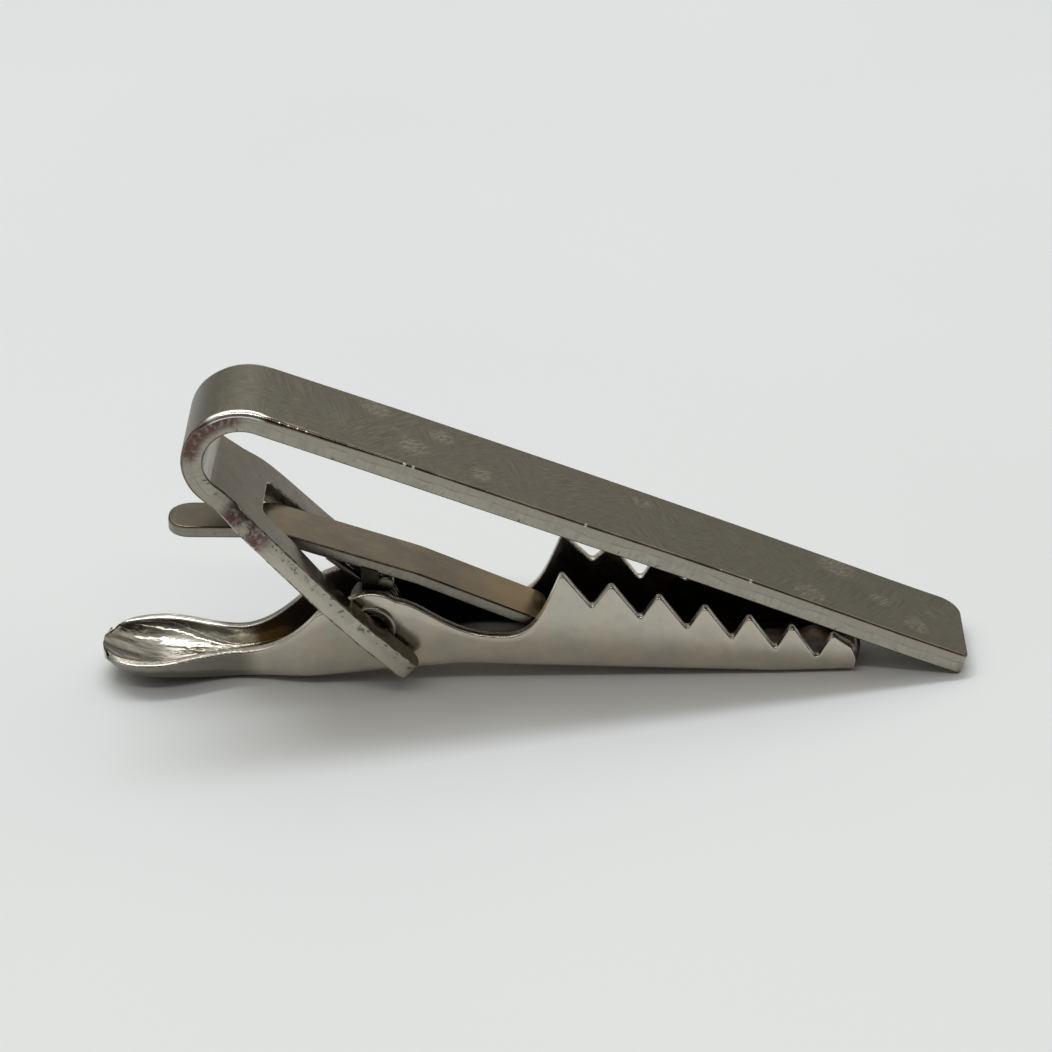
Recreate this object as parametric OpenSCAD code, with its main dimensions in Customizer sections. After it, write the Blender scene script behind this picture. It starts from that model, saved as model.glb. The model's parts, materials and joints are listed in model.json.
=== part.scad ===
// Tie clip with a sprung toothed jaw, lying on its side on a table.
// X runs along the clip towards the bar's free tip, Y across it, Z up from the table.

/* [Front bar] */
// Width of the bar
bar_w = 6; // [5:0.1:8]
// Straight length of the bar, from the bend to the free tip
bar_l = 40.6; // [38:0.2:44]
// Thickness of the strip that the bar and its return leg are bent from
strip_t = 1.2; // [1.1:0.05:1.5]
// Outer radius of the bend
bend_r = 3.2; // [2.8:0.1:4]
// Radius of the rounded corner at the free tip
tip_round_r = 1.1; // [0.6:0.1:2]
// Radius of the nearly square corner at the free tip
tip_square_r = 0.3; // [0.1:0.05:0.6]
// Angle between the bar and its return leg
leg_spread = 22.8; // [21:0.2:25]

/* [Return leg] */
// Length of the leg from the bend to the pivot
leg_l = 11.65; // [11:0.05:13]
// Length of the tines past the pivot
tine_over = 3; // [2.4:0.1:4]
// Width of the leg where the window starts
leg_shoulder_w = 7.5; // [7:0.1:9]
// Width over the two tines at the pivot
tine_span = 8.6; // [8.2:0.1:10]
// Distance from the bend to the arched end of the window
window_start = 2.85; // [2.4:0.05:3.2]
// Width of the window at its arched end
window_w = 3.8; // [3.6:0.1:4.4]

/* [Jaw] */
// Outer width of the jaw's channel
jaw_w = 5.2; // [4.8:0.1:5.8]
// Thickness of the jaw's sheet
sheet_t = 0.6; // [0.4:0.05:0.7]
// Outer radius of the channel's two bends
channel_r = 0.85; // [0.75:0.05:1.2]
// Radius of the ear round the pivot
ear_r = 2.05; // [1.8:0.05:2.4]
// Depth of the jaw's underside below the pivot
belly_h = 2.62; // [2.4:0.02:2.8]
// Distance from the pivot to the kink in the jaw's underside
kink_x = 4.9; // [4:0.1:6]
// Slope of the toothed part's underside
front_slope = 3.2; // [2:0.1:4]
// Slope of the handle's underside where it leaves the kink
handle_slope = 4; // [3:0.1:5]
// Distance from the pivot to the first tooth
tooth_x = 10.4; // [10:0.1:12]
// Number of teeth on each side
tooth_count = 7; // [5:1:9]
// Distance from the first tooth to the second
tooth_pitch = 2.66; // [2.4:0.02:2.8]
// How much shorter each next pitch is
tooth_shrink = 0.09; // [0:0.01:0.12]
// Depth of the valleys between the teeth
tooth_depth = 1.8; // [1.2:0.05:2.2]
// Gap between the first tooth and the bar
bite_gap = 2.05; // [1.6:0.05:2.6]
// Gap between the last tooth and the bar
nose_gap = 0.12; // [0.1:0.01:0.3]
// Radius of the rounded nose
nose_r = 1; // [0.8:0.05:1.3]

/* [Jaw handle] */
// Distance from the pivot to where the ears end and the neck begins
neck_start = 3; // [2.8:0.05:3.4]
// Distance from the pivot to the narrowest place of the neck
waist_x = 7.5; // [7:0.1:8.5]
// Width of the neck at its narrowest place
waist_w = 3.5; // [3.2:0.1:4]
// Distance from the pivot to the end of the thumb pad
pad_x = 15.2; // [14.6:0.1:16.5]
// Width of the thumb pad
pad_w = 6; // [5.2:0.1:7]
// Height of the thumb pad's rim above the table
pad_rim_h = 1.9; // [1.6:0.05:2.3]
// Number of flutes across the thumb pad
flute_count = 5; // [3:1:7]
// Depth of the flutes
flute_d = 0.22; // [0.1:0.01:0.25]

/* [Lever] */
// Width of the lever
lever_w = 3.3; // [3:0.1:3.4]
// Thickness of the lever
lever_t = 0.68; // [0.5:0.02:0.8]
// Width of the lever's thumb tab
tab_w = 2.9; // [2.4:0.1:3.2]
// Distance from the pivot to the end of the thumb tab
tab_x = 10.9; // [10:0.1:12]
// Distance from the pivot to the end that lies in the jaw
lever_reach = 8.95; // [8:0.05:9.4]
// Height of the lever's top above the pivot
lever_h = 3.7; // [3.6:0.02:3.9]
// Width of the ears that carry the lever on the tube
lever_ear_w = 1; // [0.8:0.05:1.2]
// Radius of the round stubs under the lever
stub_r = 0.42; // [0.3:0.02:0.5]

/* [Pivot] */
// Height of the pivot above the table
pivot_h = 3.65; // [3.55:0.01:3.8]
// Outer radius of the pivot tube
tube_r = 0.8; // [0.7:0.02:0.85]
// Bore radius of the pivot tube
tube_bore_r = 0.55; // [0.52:0.01:0.6]
// Radius of the tube's flared ends
flare_r = 1.3; // [1.15:0.05:1.5]
// Thickness of the tube's flared ends
flare_t = 0.2; // [0.15:0.01:0.25]
// Length of the pips that the tines push into the tube
pip_l = 0.85; // [0.7:0.05:1]
// Radial clearance of the pips in the tube, and of the tube in the ears
running_gap = 0.05; // [0.03:0.01:0.08]
// Gap between the flared ends and the tines
side_gap = 0.1; // [0.06:0.01:0.15]

/* [Spring] */
// Diameter of the spring's wire
wire_d = 0.42; // [0.34:0.02:0.44]
// Mean radius of the coil
coil_r = 1.2; // [1.15:0.05:1.3]
// Whole turns of the coil, besides the part of a turn that its legs need
coil_turns = 1; // [1:1:2]
// Distance that both legs reach from the pivot towards the thumb pad
spring_reach = 3.4; // [3.2:0.1:3.8]

/* [Hidden] */

$fn = 64;
// Overrun of every cut past the faces that it goes through
cut = 1;
// Size of the blocks that keep one side of a plane
block = 4 * bar_l;

steel_warm = [0.55, 0.53, 0.49];
steel_grey = [0.62, 0.60, 0.56];

function mix(a, b, k) = a + (b - a) * k;
function smooth(k) = k * k * (3 - 2 * k);
function bezier(a, b, c, d, k) =
    a * pow(1 - k, 3) + 3 * b * k * pow(1 - k, 2) + 3 * c * k * k * (1 - k) + d * pow(k, 3);
function turned(p, a) = [p[0] * cos(a) + p[1] * sin(a), -p[0] * sin(a) + p[1] * cos(a)];
function last(v) = v[len(v) - 1];
function reversed(v) = [for (i = [len(v) - 1 : -1 : 0]) v[i]];

// The pips sit in the middle of the strip
pip_r = tube_bore_r - running_gap;
pip_depth = strip_t / 2;

// Seen from the side, the bar's own frame has the bend's centre at zero and the bar along X.
// The pivot and the tip's lower corner are found there first.
pivot_in_bar = [
    leg_l * cos(leg_spread) - (bend_r - pip_depth) * sin(leg_spread),
    -leg_l * sin(leg_spread) - (bend_r - pip_depth) * cos(leg_spread)
];
tip_in_bar = [bar_l, bend_r - strip_t];
to_tip = tip_in_bar - pivot_in_bar;
// The bar leans until its tip meets the table on which the pivot stands pivot_h high
bar_slope = asin(pivot_h / norm(to_tip)) + atan2(to_tip[1], to_tip[0]);
leg_slope = bar_slope + leg_spread;

// Places seen from the side, with the pivot at zero
bend_c = turned(-pivot_in_bar, bar_slope);
tip_top = turned([bar_l, bend_r] - pivot_in_bar, bar_slope);
function bar_under(x) = tip_top[1] + (tip_top[0] - x) * tan(bar_slope) - strip_t / cos(bar_slope);

// The part's origin is under the middle of its length
middle_x = (tip_top[0] - pad_x) / 2;

jaw_half = jaw_w / 2;
tine_inner = jaw_half + flare_t + side_gap;
// Clearance of the jaw and of its channel in the leg's window
jaw_side_gap = 0.15;
// Cut corners at the tines' ends
tine_round_r = 0.7;

bend_corners = 40;
arch_corners = 8;
// The clip stands on its tip, and a simulated contact settles only where the corners there are few
tip_round_corners = 5;
tip_square_corners = 1;

// Seen from the side in the bar's own frame: the bar, the bend and the leg
function bend_arc(r) = [for (k = [0 : 1 / bend_corners : 1]) let(a = mix(90, 270 - leg_spread, k)) r * [cos(a), sin(a)]];
function leg_end(r) = last(bend_arc(r)) + (leg_l + tine_over) * [cos(leg_spread), -sin(leg_spread)];
side_profile = concat(
    [[bar_l, bend_r]], bend_arc(bend_r), [leg_end(bend_r), leg_end(bend_r - strip_t)],
    reversed(bend_arc(bend_r - strip_t)), [[bar_l, bend_r - strip_t]]
);

// Half of the leg's outline: distance along it from the bend, half width
leg_end_x = leg_l + tine_over;
leg_half = [
    [-2 * bend_r, bar_w / 2],
    [0, bar_w / 2],
    [window_start, leg_shoulder_w / 2],
    [mix(window_start, leg_l, 0.5), mix(leg_shoulder_w, tine_span, 0.5) / 2],
    [leg_l, tine_span / 2],
    [leg_end_x - tine_round_r, tine_span / 2],
    [leg_end_x + cut, tine_span / 2 - tine_round_r - cut]
];
// Half of the window's outline
window_arch_r = 0.8;
jaw_pass_x = leg_l - neck_start - jaw_side_gap;
window_half = concat(
    [for (k = [0 : 1 / arch_corners : 1]) let(a = mix(180, 90, k))
        [window_start + window_arch_r, window_w / 2 - window_arch_r] + window_arch_r * [cos(a), sin(a)]],
    [
        [mix(window_start, jaw_pass_x, 0.4), window_w / 2 + jaw_side_gap],
        [jaw_pass_x, jaw_half + jaw_side_gap],
        [leg_l - flare_r - side_gap, tine_inner],
        [leg_end_x + 2 * cut, tine_inner]
    ]
);

module to_pivot() { translate([-middle_x, 0, pivot_h]) children(); }
module side_on(w) { rotate([90, 0, 0]) linear_extrude(height = w, center = true) children(); }
module across(r, l) { rotate([90, 0, 0]) cylinder(r = r, h = l, center = true); }
module mirrored() { children(); mirror([0, 1, 0]) children(); }

// Front bar: bar, bend and forked leg

module outline_of(half) {
    polygon(concat(half, [for (p = reversed(half)) [p[0], -p[1]]]));
}

// What is cut off a square corner to round it
module corner_waste(r, corners) {
    difference() {
        translate([-cut, -cut]) square(r + cut);
        translate([r, r]) circle(r = r, $fn = 4 * corners);
    }
}

// What is cut off the wide strip beside the leg, and in its window
module leg_waste() {
    difference() {
        translate([-block / 2, -block / 2]) square(block);
        outline_of(leg_half);
    }
    outline_of(window_half);
}

// Each pip stands on the tine's inner side and is rooted in its middle
module pip() {
    root = (tine_span / 2 - tine_inner) / 2;
    translate([0, tine_inner + root, 0]) rotate([90, 0, 0]) cylinder(r = pip_r, h = root + pip_l);
}

module front_bar() {
    color(steel_warm) to_pivot() {
        translate([bend_c[0], 0, bend_c[1]]) difference() {
            rotate([0, bar_slope, 0]) side_on(tine_span) polygon(side_profile);
            rotate([0, leg_slope, 0]) {
                mirrored() translate([-block / 2, bar_w / 2, 0]) cube(block);
                translate([0, 0, -bend_r - cut]) linear_extrude(height = bend_r + cut + strip_t) leg_waste();
            }
            rotate([0, bar_slope, 0])
                translate([bar_l, 0, bend_r - strip_t - cut]) linear_extrude(height = strip_t + 2 * cut) {
                    translate([0, bar_w / 2]) rotate(180) corner_waste(tip_round_r, tip_round_corners);
                    translate([0, -bar_w / 2]) rotate(90) corner_waste(tip_square_r, tip_square_corners);
                }
        }
        mirrored() pip();
    }
}

// Jaw: toothed channel, ears, neck and thumb pad

// Half of a channel's section, from the middle of its floor up to its rim
floor_steps = 2;
bend_steps = 8;
function half_section(w, h, ry, rz) = concat(
    [for (i = [0 : floor_steps]) [(w - ry) * i / floor_steps, 0]],
    [for (i = [1 : bend_steps]) let(a = 90 * i / bend_steps) [w - ry + ry * sin(a), rz * (1 - cos(a))]],
    [[w, h]]
);
function both_sides(v) = concat([for (i = [len(v) - 1 : -1 : 1]) [-v[i][0], v[i][1]]], v);
function raised(v, t) = [for (p = v) [p[0], p[1] + t]];
// A closed section of bent sheet: the outer path, then the inner path back
function sheet_section(w, h, ry, rz, t) = concat(
    both_sides(half_section(w, h, ry, rz)),
    reversed(raised(both_sides(half_section(w - t, h - t, ry - t, rz - t)), t))
);

channel_h = 3 * belly_h;
kink_z = -belly_h + kink_x * tan(handle_slope);
mitre = (handle_slope - front_slope) / 2;
front_l = tip_top[0] - kink_x;
join_l = (kink_x + neck_start) / cos(handle_slope);

tip_z0 = bar_under(tooth_x) - bite_gap / cos(bar_slope);
function tooth_at(i) = tooth_x + i * tooth_pitch - tooth_shrink * i * (i - 1) / 2;
last_tooth_x = tooth_at(tooth_count - 1);
tip_z1 = bar_under(last_tooth_x) - nose_gap / cos(bar_slope);
function tip_line(x) = mix(tip_z0, tip_z1, (x - tooth_x) / (last_tooth_x - tooth_x));
valley_share = 0.6;
tooth_flat = 0.08;

nose_c = [last_tooth_x + nose_r / 2, tip_z1 - 1.7 * nose_r];

notch_x = mix(kink_x, tooth_x, 0.42);
notch_z = -belly_h * 0.31;
ear_left_a = 136;
ear_right_a = 50;
ear = [for (k = [0 : 1 / 12 : 1]) let(a = mix(ear_left_a, ear_right_a, k)) ear_r * [cos(a), sin(a)]];
notch_left = [for (k = [0.1 : 0.1 : 1]) bezier(
    last(ear), [kink_x * 0.62, ear_r * 0.62], [kink_x * 0.84, notch_z * 0.98], [notch_x, notch_z], k)];
notch_right = [for (k = [0.1 : 0.1 : 1]) bezier(
    [notch_x, notch_z], [mix(notch_x, tooth_x, 0.53), notch_z], [mix(notch_x, tooth_x, 0.69), tip_z0 * 0.28],
    [tooth_x - tooth_flat, tip_z0], k)];
teeth = [for (i = [0 : tooth_count - 1]) let(
    x = tooth_at(i), next = tooth_at(i + 1), v = mix(x, next, valley_share), floor_z = tip_line(v) - tooth_depth
) each concat(
    [[x + (i == 0 ? 0 : -tooth_flat), tip_line(x)], [x + tooth_flat, tip_line(x)]],
    i == tooth_count - 1 ? [] : [[v - tooth_flat, floor_z], [v + tooth_flat, floor_z]]
)];
nose = [for (a = [50 : -10 : -90]) nose_c + nose_r * [cos(a), sin(a)]];

// Where the ears end, seen from the side, measured in the handle's own frame
rim_join = belly_h + 0.46 * ear_r;

module jaw_outline() {
    below = -2 * belly_h;
    polygon(concat(
        [handle_point([-join_l - cut, rim_join]), handle_point([-join_l, rim_join])],
        ear, notch_left, notch_right, teeth, nose,
        [[last(nose)[0], below], handle_point([-join_l - cut, below])]
    ));
}

// From the handle's frame, whose zero is the kink, to the pivot's
function handle_point(p) = [kink_x, kink_z] + turned(p, -handle_slope);

module channel(l) {
    rotate([90, 0, 90]) linear_extrude(height = l)
        polygon(sheet_section(jaw_half, channel_h, channel_r, channel_r, sheet_t));
}

module at_kink() { translate([kink_x, 0, kink_z]) children(); }

// Each half of the channel ends at the plane halfway between its two slopes
module front_channel() {
    intersection() {
        side_on(jaw_w + cut) jaw_outline();
        at_kink() translate([-cut, 0, 0]) rotate([0, front_slope, 0]) channel(front_l + cut);
        at_kink() rotate([0, -mitre, 0]) translate([0, -block / 2, -block / 2]) cube(block);
    }
}

module rear_channel() {
    intersection() {
        side_on(jaw_w + cut) jaw_outline();
        at_kink() rotate([0, -handle_slope, 0]) translate([-join_l, 0, 0]) channel(join_l + cut);
        at_kink() rotate([0, -mitre, 0]) translate([-block, -block / 2, -block / 2]) cube(block);
    }
}

// The handle's own frame runs left from the join, in sections of bent sheet
handle_end = (kink_x + pad_x) / cos(handle_slope);
waist_at = (kink_x + waist_x) / cos(handle_slope);
widest_share = 0.55;
heel_share = 0.3;
widest_at = mix(waist_at, handle_end, widest_share);
heel_at = mix(waist_at, handle_end, heel_share);
// Height of the table, and of the pad's rim, in the handle's frame
function table_z(l) = (-pivot_h - kink_z) + l * tan(handle_slope);
function rim_above(l) = table_z(l) + pad_rim_h;

function half_w(l) = l < waist_at
    ? mix(waist_w, jaw_w, smooth((waist_at - l) / (waist_at - join_l))) / 2
    : mix(waist_w, pad_w, smooth(min(1, (l - waist_at) / (widest_at - waist_at)))) / 2;
function floor_z(l) = l < heel_at
    ? table_z(heel_at) * smooth((l - join_l) / (heel_at - join_l))
    : table_z(l) + (pad_rim_h - sheet_t) * pow((l - heel_at) / (handle_end - heel_at), 2);
function rim_z(l) = l < waist_at
    ? mix(rim_above(waist_at), rim_join, pow((waist_at - l) / (waist_at - join_l), 2))
    : rim_above(l);
function pad_share(l) = smooth(min(1, max(0, (l - waist_at) / (widest_at - waist_at))));

ring_count = 22;
pad_bow = pad_w * 0.32;
function station(i) = mix(join_l, handle_end, i / ring_count);
function flute(y, w, l) = pad_share(l) * flute_d * (cos(360 * flute_count * y / (2 * w)) - 1) / 2;
function handle_ring(i) =
    let(l = station(i), w = half_w(l), z = floor_z(l), h = rim_z(l) - z, k = pad_share(l))
    let(ry = mix(channel_r, w * 0.8, k), rz = mix(channel_r, h * 0.9, k))
    [for (p = sheet_section(w, h, ry, rz, sheet_t))
        // The pad's end is an arc with a scalloped edge
        let(bow = k * pad_bow * (1 - sqrt(1 - pow(0.98 * p[0] / w, 2))) * pow(i / ring_count, 2))
        [-l + bow, p[0], z + p[1] - flute(p[0], w, l)]];

module handle() {
    rings = [for (i = [0 : ring_count]) handle_ring(i)];
    n = len(rings[0]);
    points = [for (r = rings) each r];
    function quad(a, b, c, d) = [[a, b, c], [a, c, d]];
    half = n / 2;
    sides = [for (i = [0 : ring_count - 1]) for (j = [0 : n - 1])
        each quad(i * n + j, i * n + (j + 1) % n, (i + 1) * n + (j + 1) % n, (i + 1) * n + j)];
    // Each end is closed between the outer path and the inner path
    function cap(base) = [for (j = [0 : half - 2])
        each quad(base + j, base + n - 1 - j, base + n - 2 - j, base + j + 1)];
    first_cap = cap(0);
    last_cap = [for (f = cap(ring_count * n)) [f[2], f[1], f[0]]];
    polyhedron(points = points, faces = concat(sides, first_cap, last_cap));
}

module jaw() {
    color(steel_grey) to_pivot() difference() {
        union() {
            front_channel();
            rear_channel();
            at_kink() rotate([0, -handle_slope, 0]) handle();
        }
        across(tube_r + running_gap, jaw_w + 2 * cut);
    }
}

// Lever: thumb tab, strip, ears on the tube and round stubs

lever_half = lever_w / 2;
lever_ear_t = 0.5;
boss_wall = 0.3;
stub_gap = 0.1;
// Clearance of the thumb tab under the leg's lower face
tab_gap = 0.12;
leg_low = turned([window_start, -bend_r], leg_slope) + bend_c;
tab_top = leg_low[1] - tab_gap;
// Top of the lever, from the thumb tab to the end in the jaw
lever_top = [
    [-tab_x, tab_top + 0.05],
    [-tab_x / 2, tab_top],
    [kink_x * 0.55, lever_h - 0.27 * lever_h],
    [lever_reach, -lever_t / 2]
];
function way(a, b) = (b - a) / norm(b - a);
function square_to(v) = [v[1], -v[0]];
function under(i) =
    let(a = way(lever_top[max(i - 1, 0)], lever_top[max(i, 1)]))
    let(b = way(lever_top[min(i, len(lever_top) - 2)], lever_top[min(i + 1, len(lever_top) - 1)]))
    let(m = way([0, 0], square_to(a) + square_to(b)))
    lever_top[i] + m * lever_t / (m * square_to(a));
function lever_under(x) = lookup(x, [for (i = [0 : len(lever_top) - 1]) under(i)]);

tab_round_r = tab_w * 0.45;
lever_round_r = 0.5;

module lever_outline() {
    waist = [-tab_x * 0.56, -tab_x * 0.46];
    translate([-tab_x + tab_round_r, 0]) for (s = [-1, 1])
        translate([0, s * (tab_w / 2 - tab_round_r)]) circle(r = tab_round_r);
    polygon([
        [-tab_x + tab_round_r, tab_w / 2], [waist[0], tab_w / 2], [waist[1], lever_half],
        [lever_reach - lever_round_r, lever_half], [lever_reach, lever_half - lever_round_r],
        [lever_reach, lever_round_r - lever_half], [lever_reach - lever_round_r, -lever_half],
        [waist[1], -lever_half], [waist[0], -tab_w / 2], [-tab_x + tab_round_r, -tab_w / 2]
    ]);
    translate([-tab_x, tab_round_r - tab_w / 2]) square([tab_round_r, tab_w - 2 * tab_round_r]);
}

module lever_ear() {
    stub_x = lever_ear_w / 2 + stub_gap + stub_r;
    translate([0, lever_half - lever_ear_t / 2, 0]) side_on(lever_ear_t) {
        circle(r = tube_r + running_gap + boss_wall);
        polygon([
            [-lever_ear_w / 2, 0], [lever_ear_w / 2, 0],
            [lever_ear_w / 2, lever_under(lever_ear_w / 2) + lever_t / 2],
            [-lever_ear_w / 2, lever_under(-lever_ear_w / 2) + lever_t / 2]
        ]);
        translate([stub_x, lever_under(stub_x) - stub_r / 2]) {
            circle(r = stub_r);
            translate([-stub_r, 0]) square([2 * stub_r, lever_t]);
        }
    }
}

module lever() {
    color(steel_grey) to_pivot() difference() {
        union() {
            intersection() {
                side_on(lever_w + cut) polygon(concat(lever_top, [for (i = [3 : -1 : 0]) under(i)]));
                translate([0, 0, -block / 2]) linear_extrude(height = block) lever_outline();
            }
            mirrored() lever_ear();
        }
        across(tube_r + running_gap, lever_w + cut);
    }
}

// Pivot tube, flared over the jaw's ears

module pivot_tube() {
    half_l = jaw_half + flare_t;
    mouth_r = mix(tube_bore_r, flare_r, 0.6);
    mouth_d = flare_t * 2;
    profile = [
        [tube_bore_r, 0], [tube_r, 0], [tube_r, jaw_half], [flare_r, jaw_half],
        [flare_r, half_l], [mouth_r, half_l], [tube_bore_r, half_l - mouth_d]
    ];
    color(steel_grey) to_pivot() rotate([90, 0, 0]) {
        rotate_extrude() polygon(profile);
        mirror([0, 0, 1]) rotate_extrude() polygon(profile);
    }
}

// Torsion spring: one wire coiled round the tube, with a leg on the jaw's floor and a leg under the lever

wire_r = wire_d / 2;
// Clearance of the coil beside the lever's ears, and of the legs' ends at what they press on
spring_gap = 0.06;
coil_room = lever_half - lever_ear_t - spring_gap - wire_r;
rings_per_turn = 8;
wire_sides = 6;

foot_l = (kink_x + spring_reach) / cos(handle_slope);
low_end = handle_point([-foot_l, floor_z(foot_l) + sheet_t + wire_r + spring_gap]);
high_end = [-spring_reach, lever_under(-spring_reach) - (wire_r + spring_gap) / cos(bar_slope)];
// Each leg leaves the coil along its tangent, the low one at the bottom and the high one at the top
function bearing(p) = atan2(p[1], p[0]);
function tangent_turn(p) = acos(coil_r / norm(p));
high_a = bearing(high_end) - tangent_turn(high_end);
low_a = bearing(low_end) + tangent_turn(low_end) - 360 * coil_turns;
coil_steps = round(rings_per_turn * (high_a - low_a) / 360);

function coil_point(k) =
    let(a = mix(high_a, low_a, k))
    [coil_r * cos(a), mix(-coil_room, coil_room, k), coil_r * sin(a)];

module torsion_spring() {
    coil = [for (i = [0 : coil_steps]) coil_point(i / coil_steps)];
    high_leg_end = [high_end[0], -coil_room, high_end[1]];
    low_leg_end = [low_end[0], coil_room, low_end[1]];
    echo(least_gap = least_gap(coil) - wire_d);
    color("silver") to_pivot() tube_along(concat([high_leg_end], coil, [low_leg_end]), wire_r);
}

function way3(a, b) = (b - a) / norm(b - a);
// Least distance between places on the coil that are at least half a turn apart
function least_gap(v) = min([for (i = [0 : len(v) - 1]) for (j = [i + rings_per_turn / 2 : 1 : len(v) - 1])
    norm(v[i] - v[j])]);

module tube_along(path, r) {
    n = len(path);
    rings = [for (i = [0 : n - 1])
        let(d = way3(path[max(i - 1, 0)], path[min(i + 1, n - 1)]), u = cross(d, [0, 1, 0]))
        let(a = u / norm(u), b = cross(a, d))
        [for (j = [0 : wire_sides - 1]) path[i] + r * (a * cos(360 * j / wire_sides) + b * sin(360 * j / wire_sides))]];
    sides = [for (i = [0 : n - 2]) for (j = [0 : wire_sides - 1]) let(
        p = i * wire_sides + j, q = i * wire_sides + (j + 1) % wire_sides
    ) each [[p, q, q + wire_sides], [p, q + wire_sides, p + wire_sides]]];
    first = [for (j = [1 : wire_sides - 2]) [0, j + 1, j]];
    end = (n - 1) * wire_sides;
    final = [for (j = [1 : wire_sides - 2]) [end, end + j, end + j + 1]];
    polyhedron(points = [for (r = rings) each r], faces = concat(sides, first, final));
}

front_bar();
jaw();
lever();
pivot_tube();
torsion_spring();
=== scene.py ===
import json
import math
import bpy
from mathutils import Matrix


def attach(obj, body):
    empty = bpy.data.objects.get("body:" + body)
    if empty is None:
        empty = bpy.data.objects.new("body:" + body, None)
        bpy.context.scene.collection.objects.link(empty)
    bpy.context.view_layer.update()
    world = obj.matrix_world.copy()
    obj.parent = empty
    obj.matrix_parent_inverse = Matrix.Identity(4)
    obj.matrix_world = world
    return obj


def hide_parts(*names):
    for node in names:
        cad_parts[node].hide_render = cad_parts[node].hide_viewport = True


bl_info = {
    "name": "Tie Clip",
    "version": (1, 0, 0),
    "blender": (4, 5, 0),
    "location": "View3D > Sidebar > Tie Clip",
    "description": "Builds a slim bent-strip tie clip with a sprung toothed jaw, and a table to show it on",
    "category": "Object",
}

import bmesh
import bpy
from mathutils import Matrix, Vector

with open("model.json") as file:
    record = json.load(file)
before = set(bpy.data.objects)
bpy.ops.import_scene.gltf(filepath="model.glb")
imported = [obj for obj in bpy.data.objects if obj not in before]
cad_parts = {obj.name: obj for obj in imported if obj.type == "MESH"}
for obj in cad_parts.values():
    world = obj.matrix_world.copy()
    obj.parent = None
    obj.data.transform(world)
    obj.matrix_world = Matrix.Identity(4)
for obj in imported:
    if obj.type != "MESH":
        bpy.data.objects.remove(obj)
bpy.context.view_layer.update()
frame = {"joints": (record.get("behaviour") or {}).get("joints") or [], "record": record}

MM = 0.001
# The pivot's axis runs along Y through this point, and every piece is drawn around it
PIVOT = Vector(frame["joints"][0]["pos_m"])
BAR_FACE = Vector(frame["record"]["mounts"][0]["axis"])
BAR_SLOPE = math.atan2(BAR_FACE.x, BAR_FACE.z)
BAR_FACE_MIDDLE = Vector(frame["record"]["mounts"][0]["pos_m"]) - PIVOT
SHARP_ANGLE = math.radians(32)
# Radius of the corners at the ends of the tines and of the lever
END_CORNER = 0.62 * MM
# Radius of the corners of the window's arch
ARCH_CORNER = 0.7 * MM
# How much higher the thumb tab's end is than its root
TAB_LIFT = 0.2 * MM
# The least gap between the jaw's underside and the table
TABLE_GAP = 0.04 * MM
# The longest step between two cross-sections of the jaw
LONGEST_STEP = 0.7 * MM


# Properties

def length(label, text, default):
    return bpy.props.FloatProperty(
        name=label, description=text, default=default, min=0.0, precision=5, unit="LENGTH")


def angle(label, text, degrees):
    return bpy.props.FloatProperty(
        name=label, description=text, default=math.radians(degrees), subtype="ANGLE")


def colour(label, text, default):
    return bpy.props.FloatVectorProperty(
        name=label, description=text, default=default, min=0.0, max=1.0, size=3, subtype="COLOR")


def share(label, text, default):
    return bpy.props.FloatProperty(
        name=label, description=text, default=default, min=0.0, max=1.0, subtype="FACTOR")


def number(label, text, default):
    return bpy.props.IntProperty(name=label, description=text, default=default, min=1)


def power(label, text, default):
    return bpy.props.FloatProperty(name=label, description=text, default=default, unit="POWER")


class TIECLIP_PG_bar(bpy.types.PropertyGroup):
    """Sizes of the front bar and its return leg"""

    width: length("Width", "Width of the bar", 6.0 * MM)
    straight: length("Length", "Straight length of the bar, from the bend to the free tip", 40.6 * MM)
    thickness: length("Strip thickness", "Thickness of the bent strip", 1.2 * MM)
    bend_radius: length("Bend radius", "Outer radius of the bend", 3.2 * MM)
    bow: length("Bow", "How far the bar's middle stands proud of a straight line", 0.2 * MM)
    twist: length("Twist", "How much higher the far side of the bar is near the bend", 0.035 * MM)
    pinch: length("Pinch", "How far the leg is squeezed inwards below the bend", 0.3 * MM)
    spread: angle("Spread", "Angle between the bar and its return leg", 22.8)
    tip_round: length("Round corner", "Radius of the rounded corner at the tip", 1.25 * MM)
    tip_square: length("Square corner", "Radius of the nearly square corner at the tip", 0.38 * MM)
    tip_slant: length("Slant", "How much shorter the bar is at its rounded corner", 0.1 * MM)
    leg: length("Leg", "Length of the leg from the bend to the pivot", 11.65 * MM)
    tine_over: length("Tine end", "Length of the tines past the pivot", 3.0 * MM)
    shoulder_width: length("Shoulder", "Width of the leg where the window starts", 7.5 * MM)
    tine_span: length("Tine span", "Width over both tines at the pivot", 8.6 * MM)
    window_start: length("Window start", "Distance from the bend to the window's arched end", 2.85 * MM)
    window_width: length("Window width", "Width of the window at its arched end", 3.8 * MM)
    tine_inner: length("Tine inside", "Half of the clear width between the tines", 2.9 * MM)
    face_rim: length("Face rim", "Rounding of the outer face's rim", 0.13 * MM)
    back_rim: length("Back rim", "Rounding of the inner face's rim", 0.08 * MM)


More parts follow.
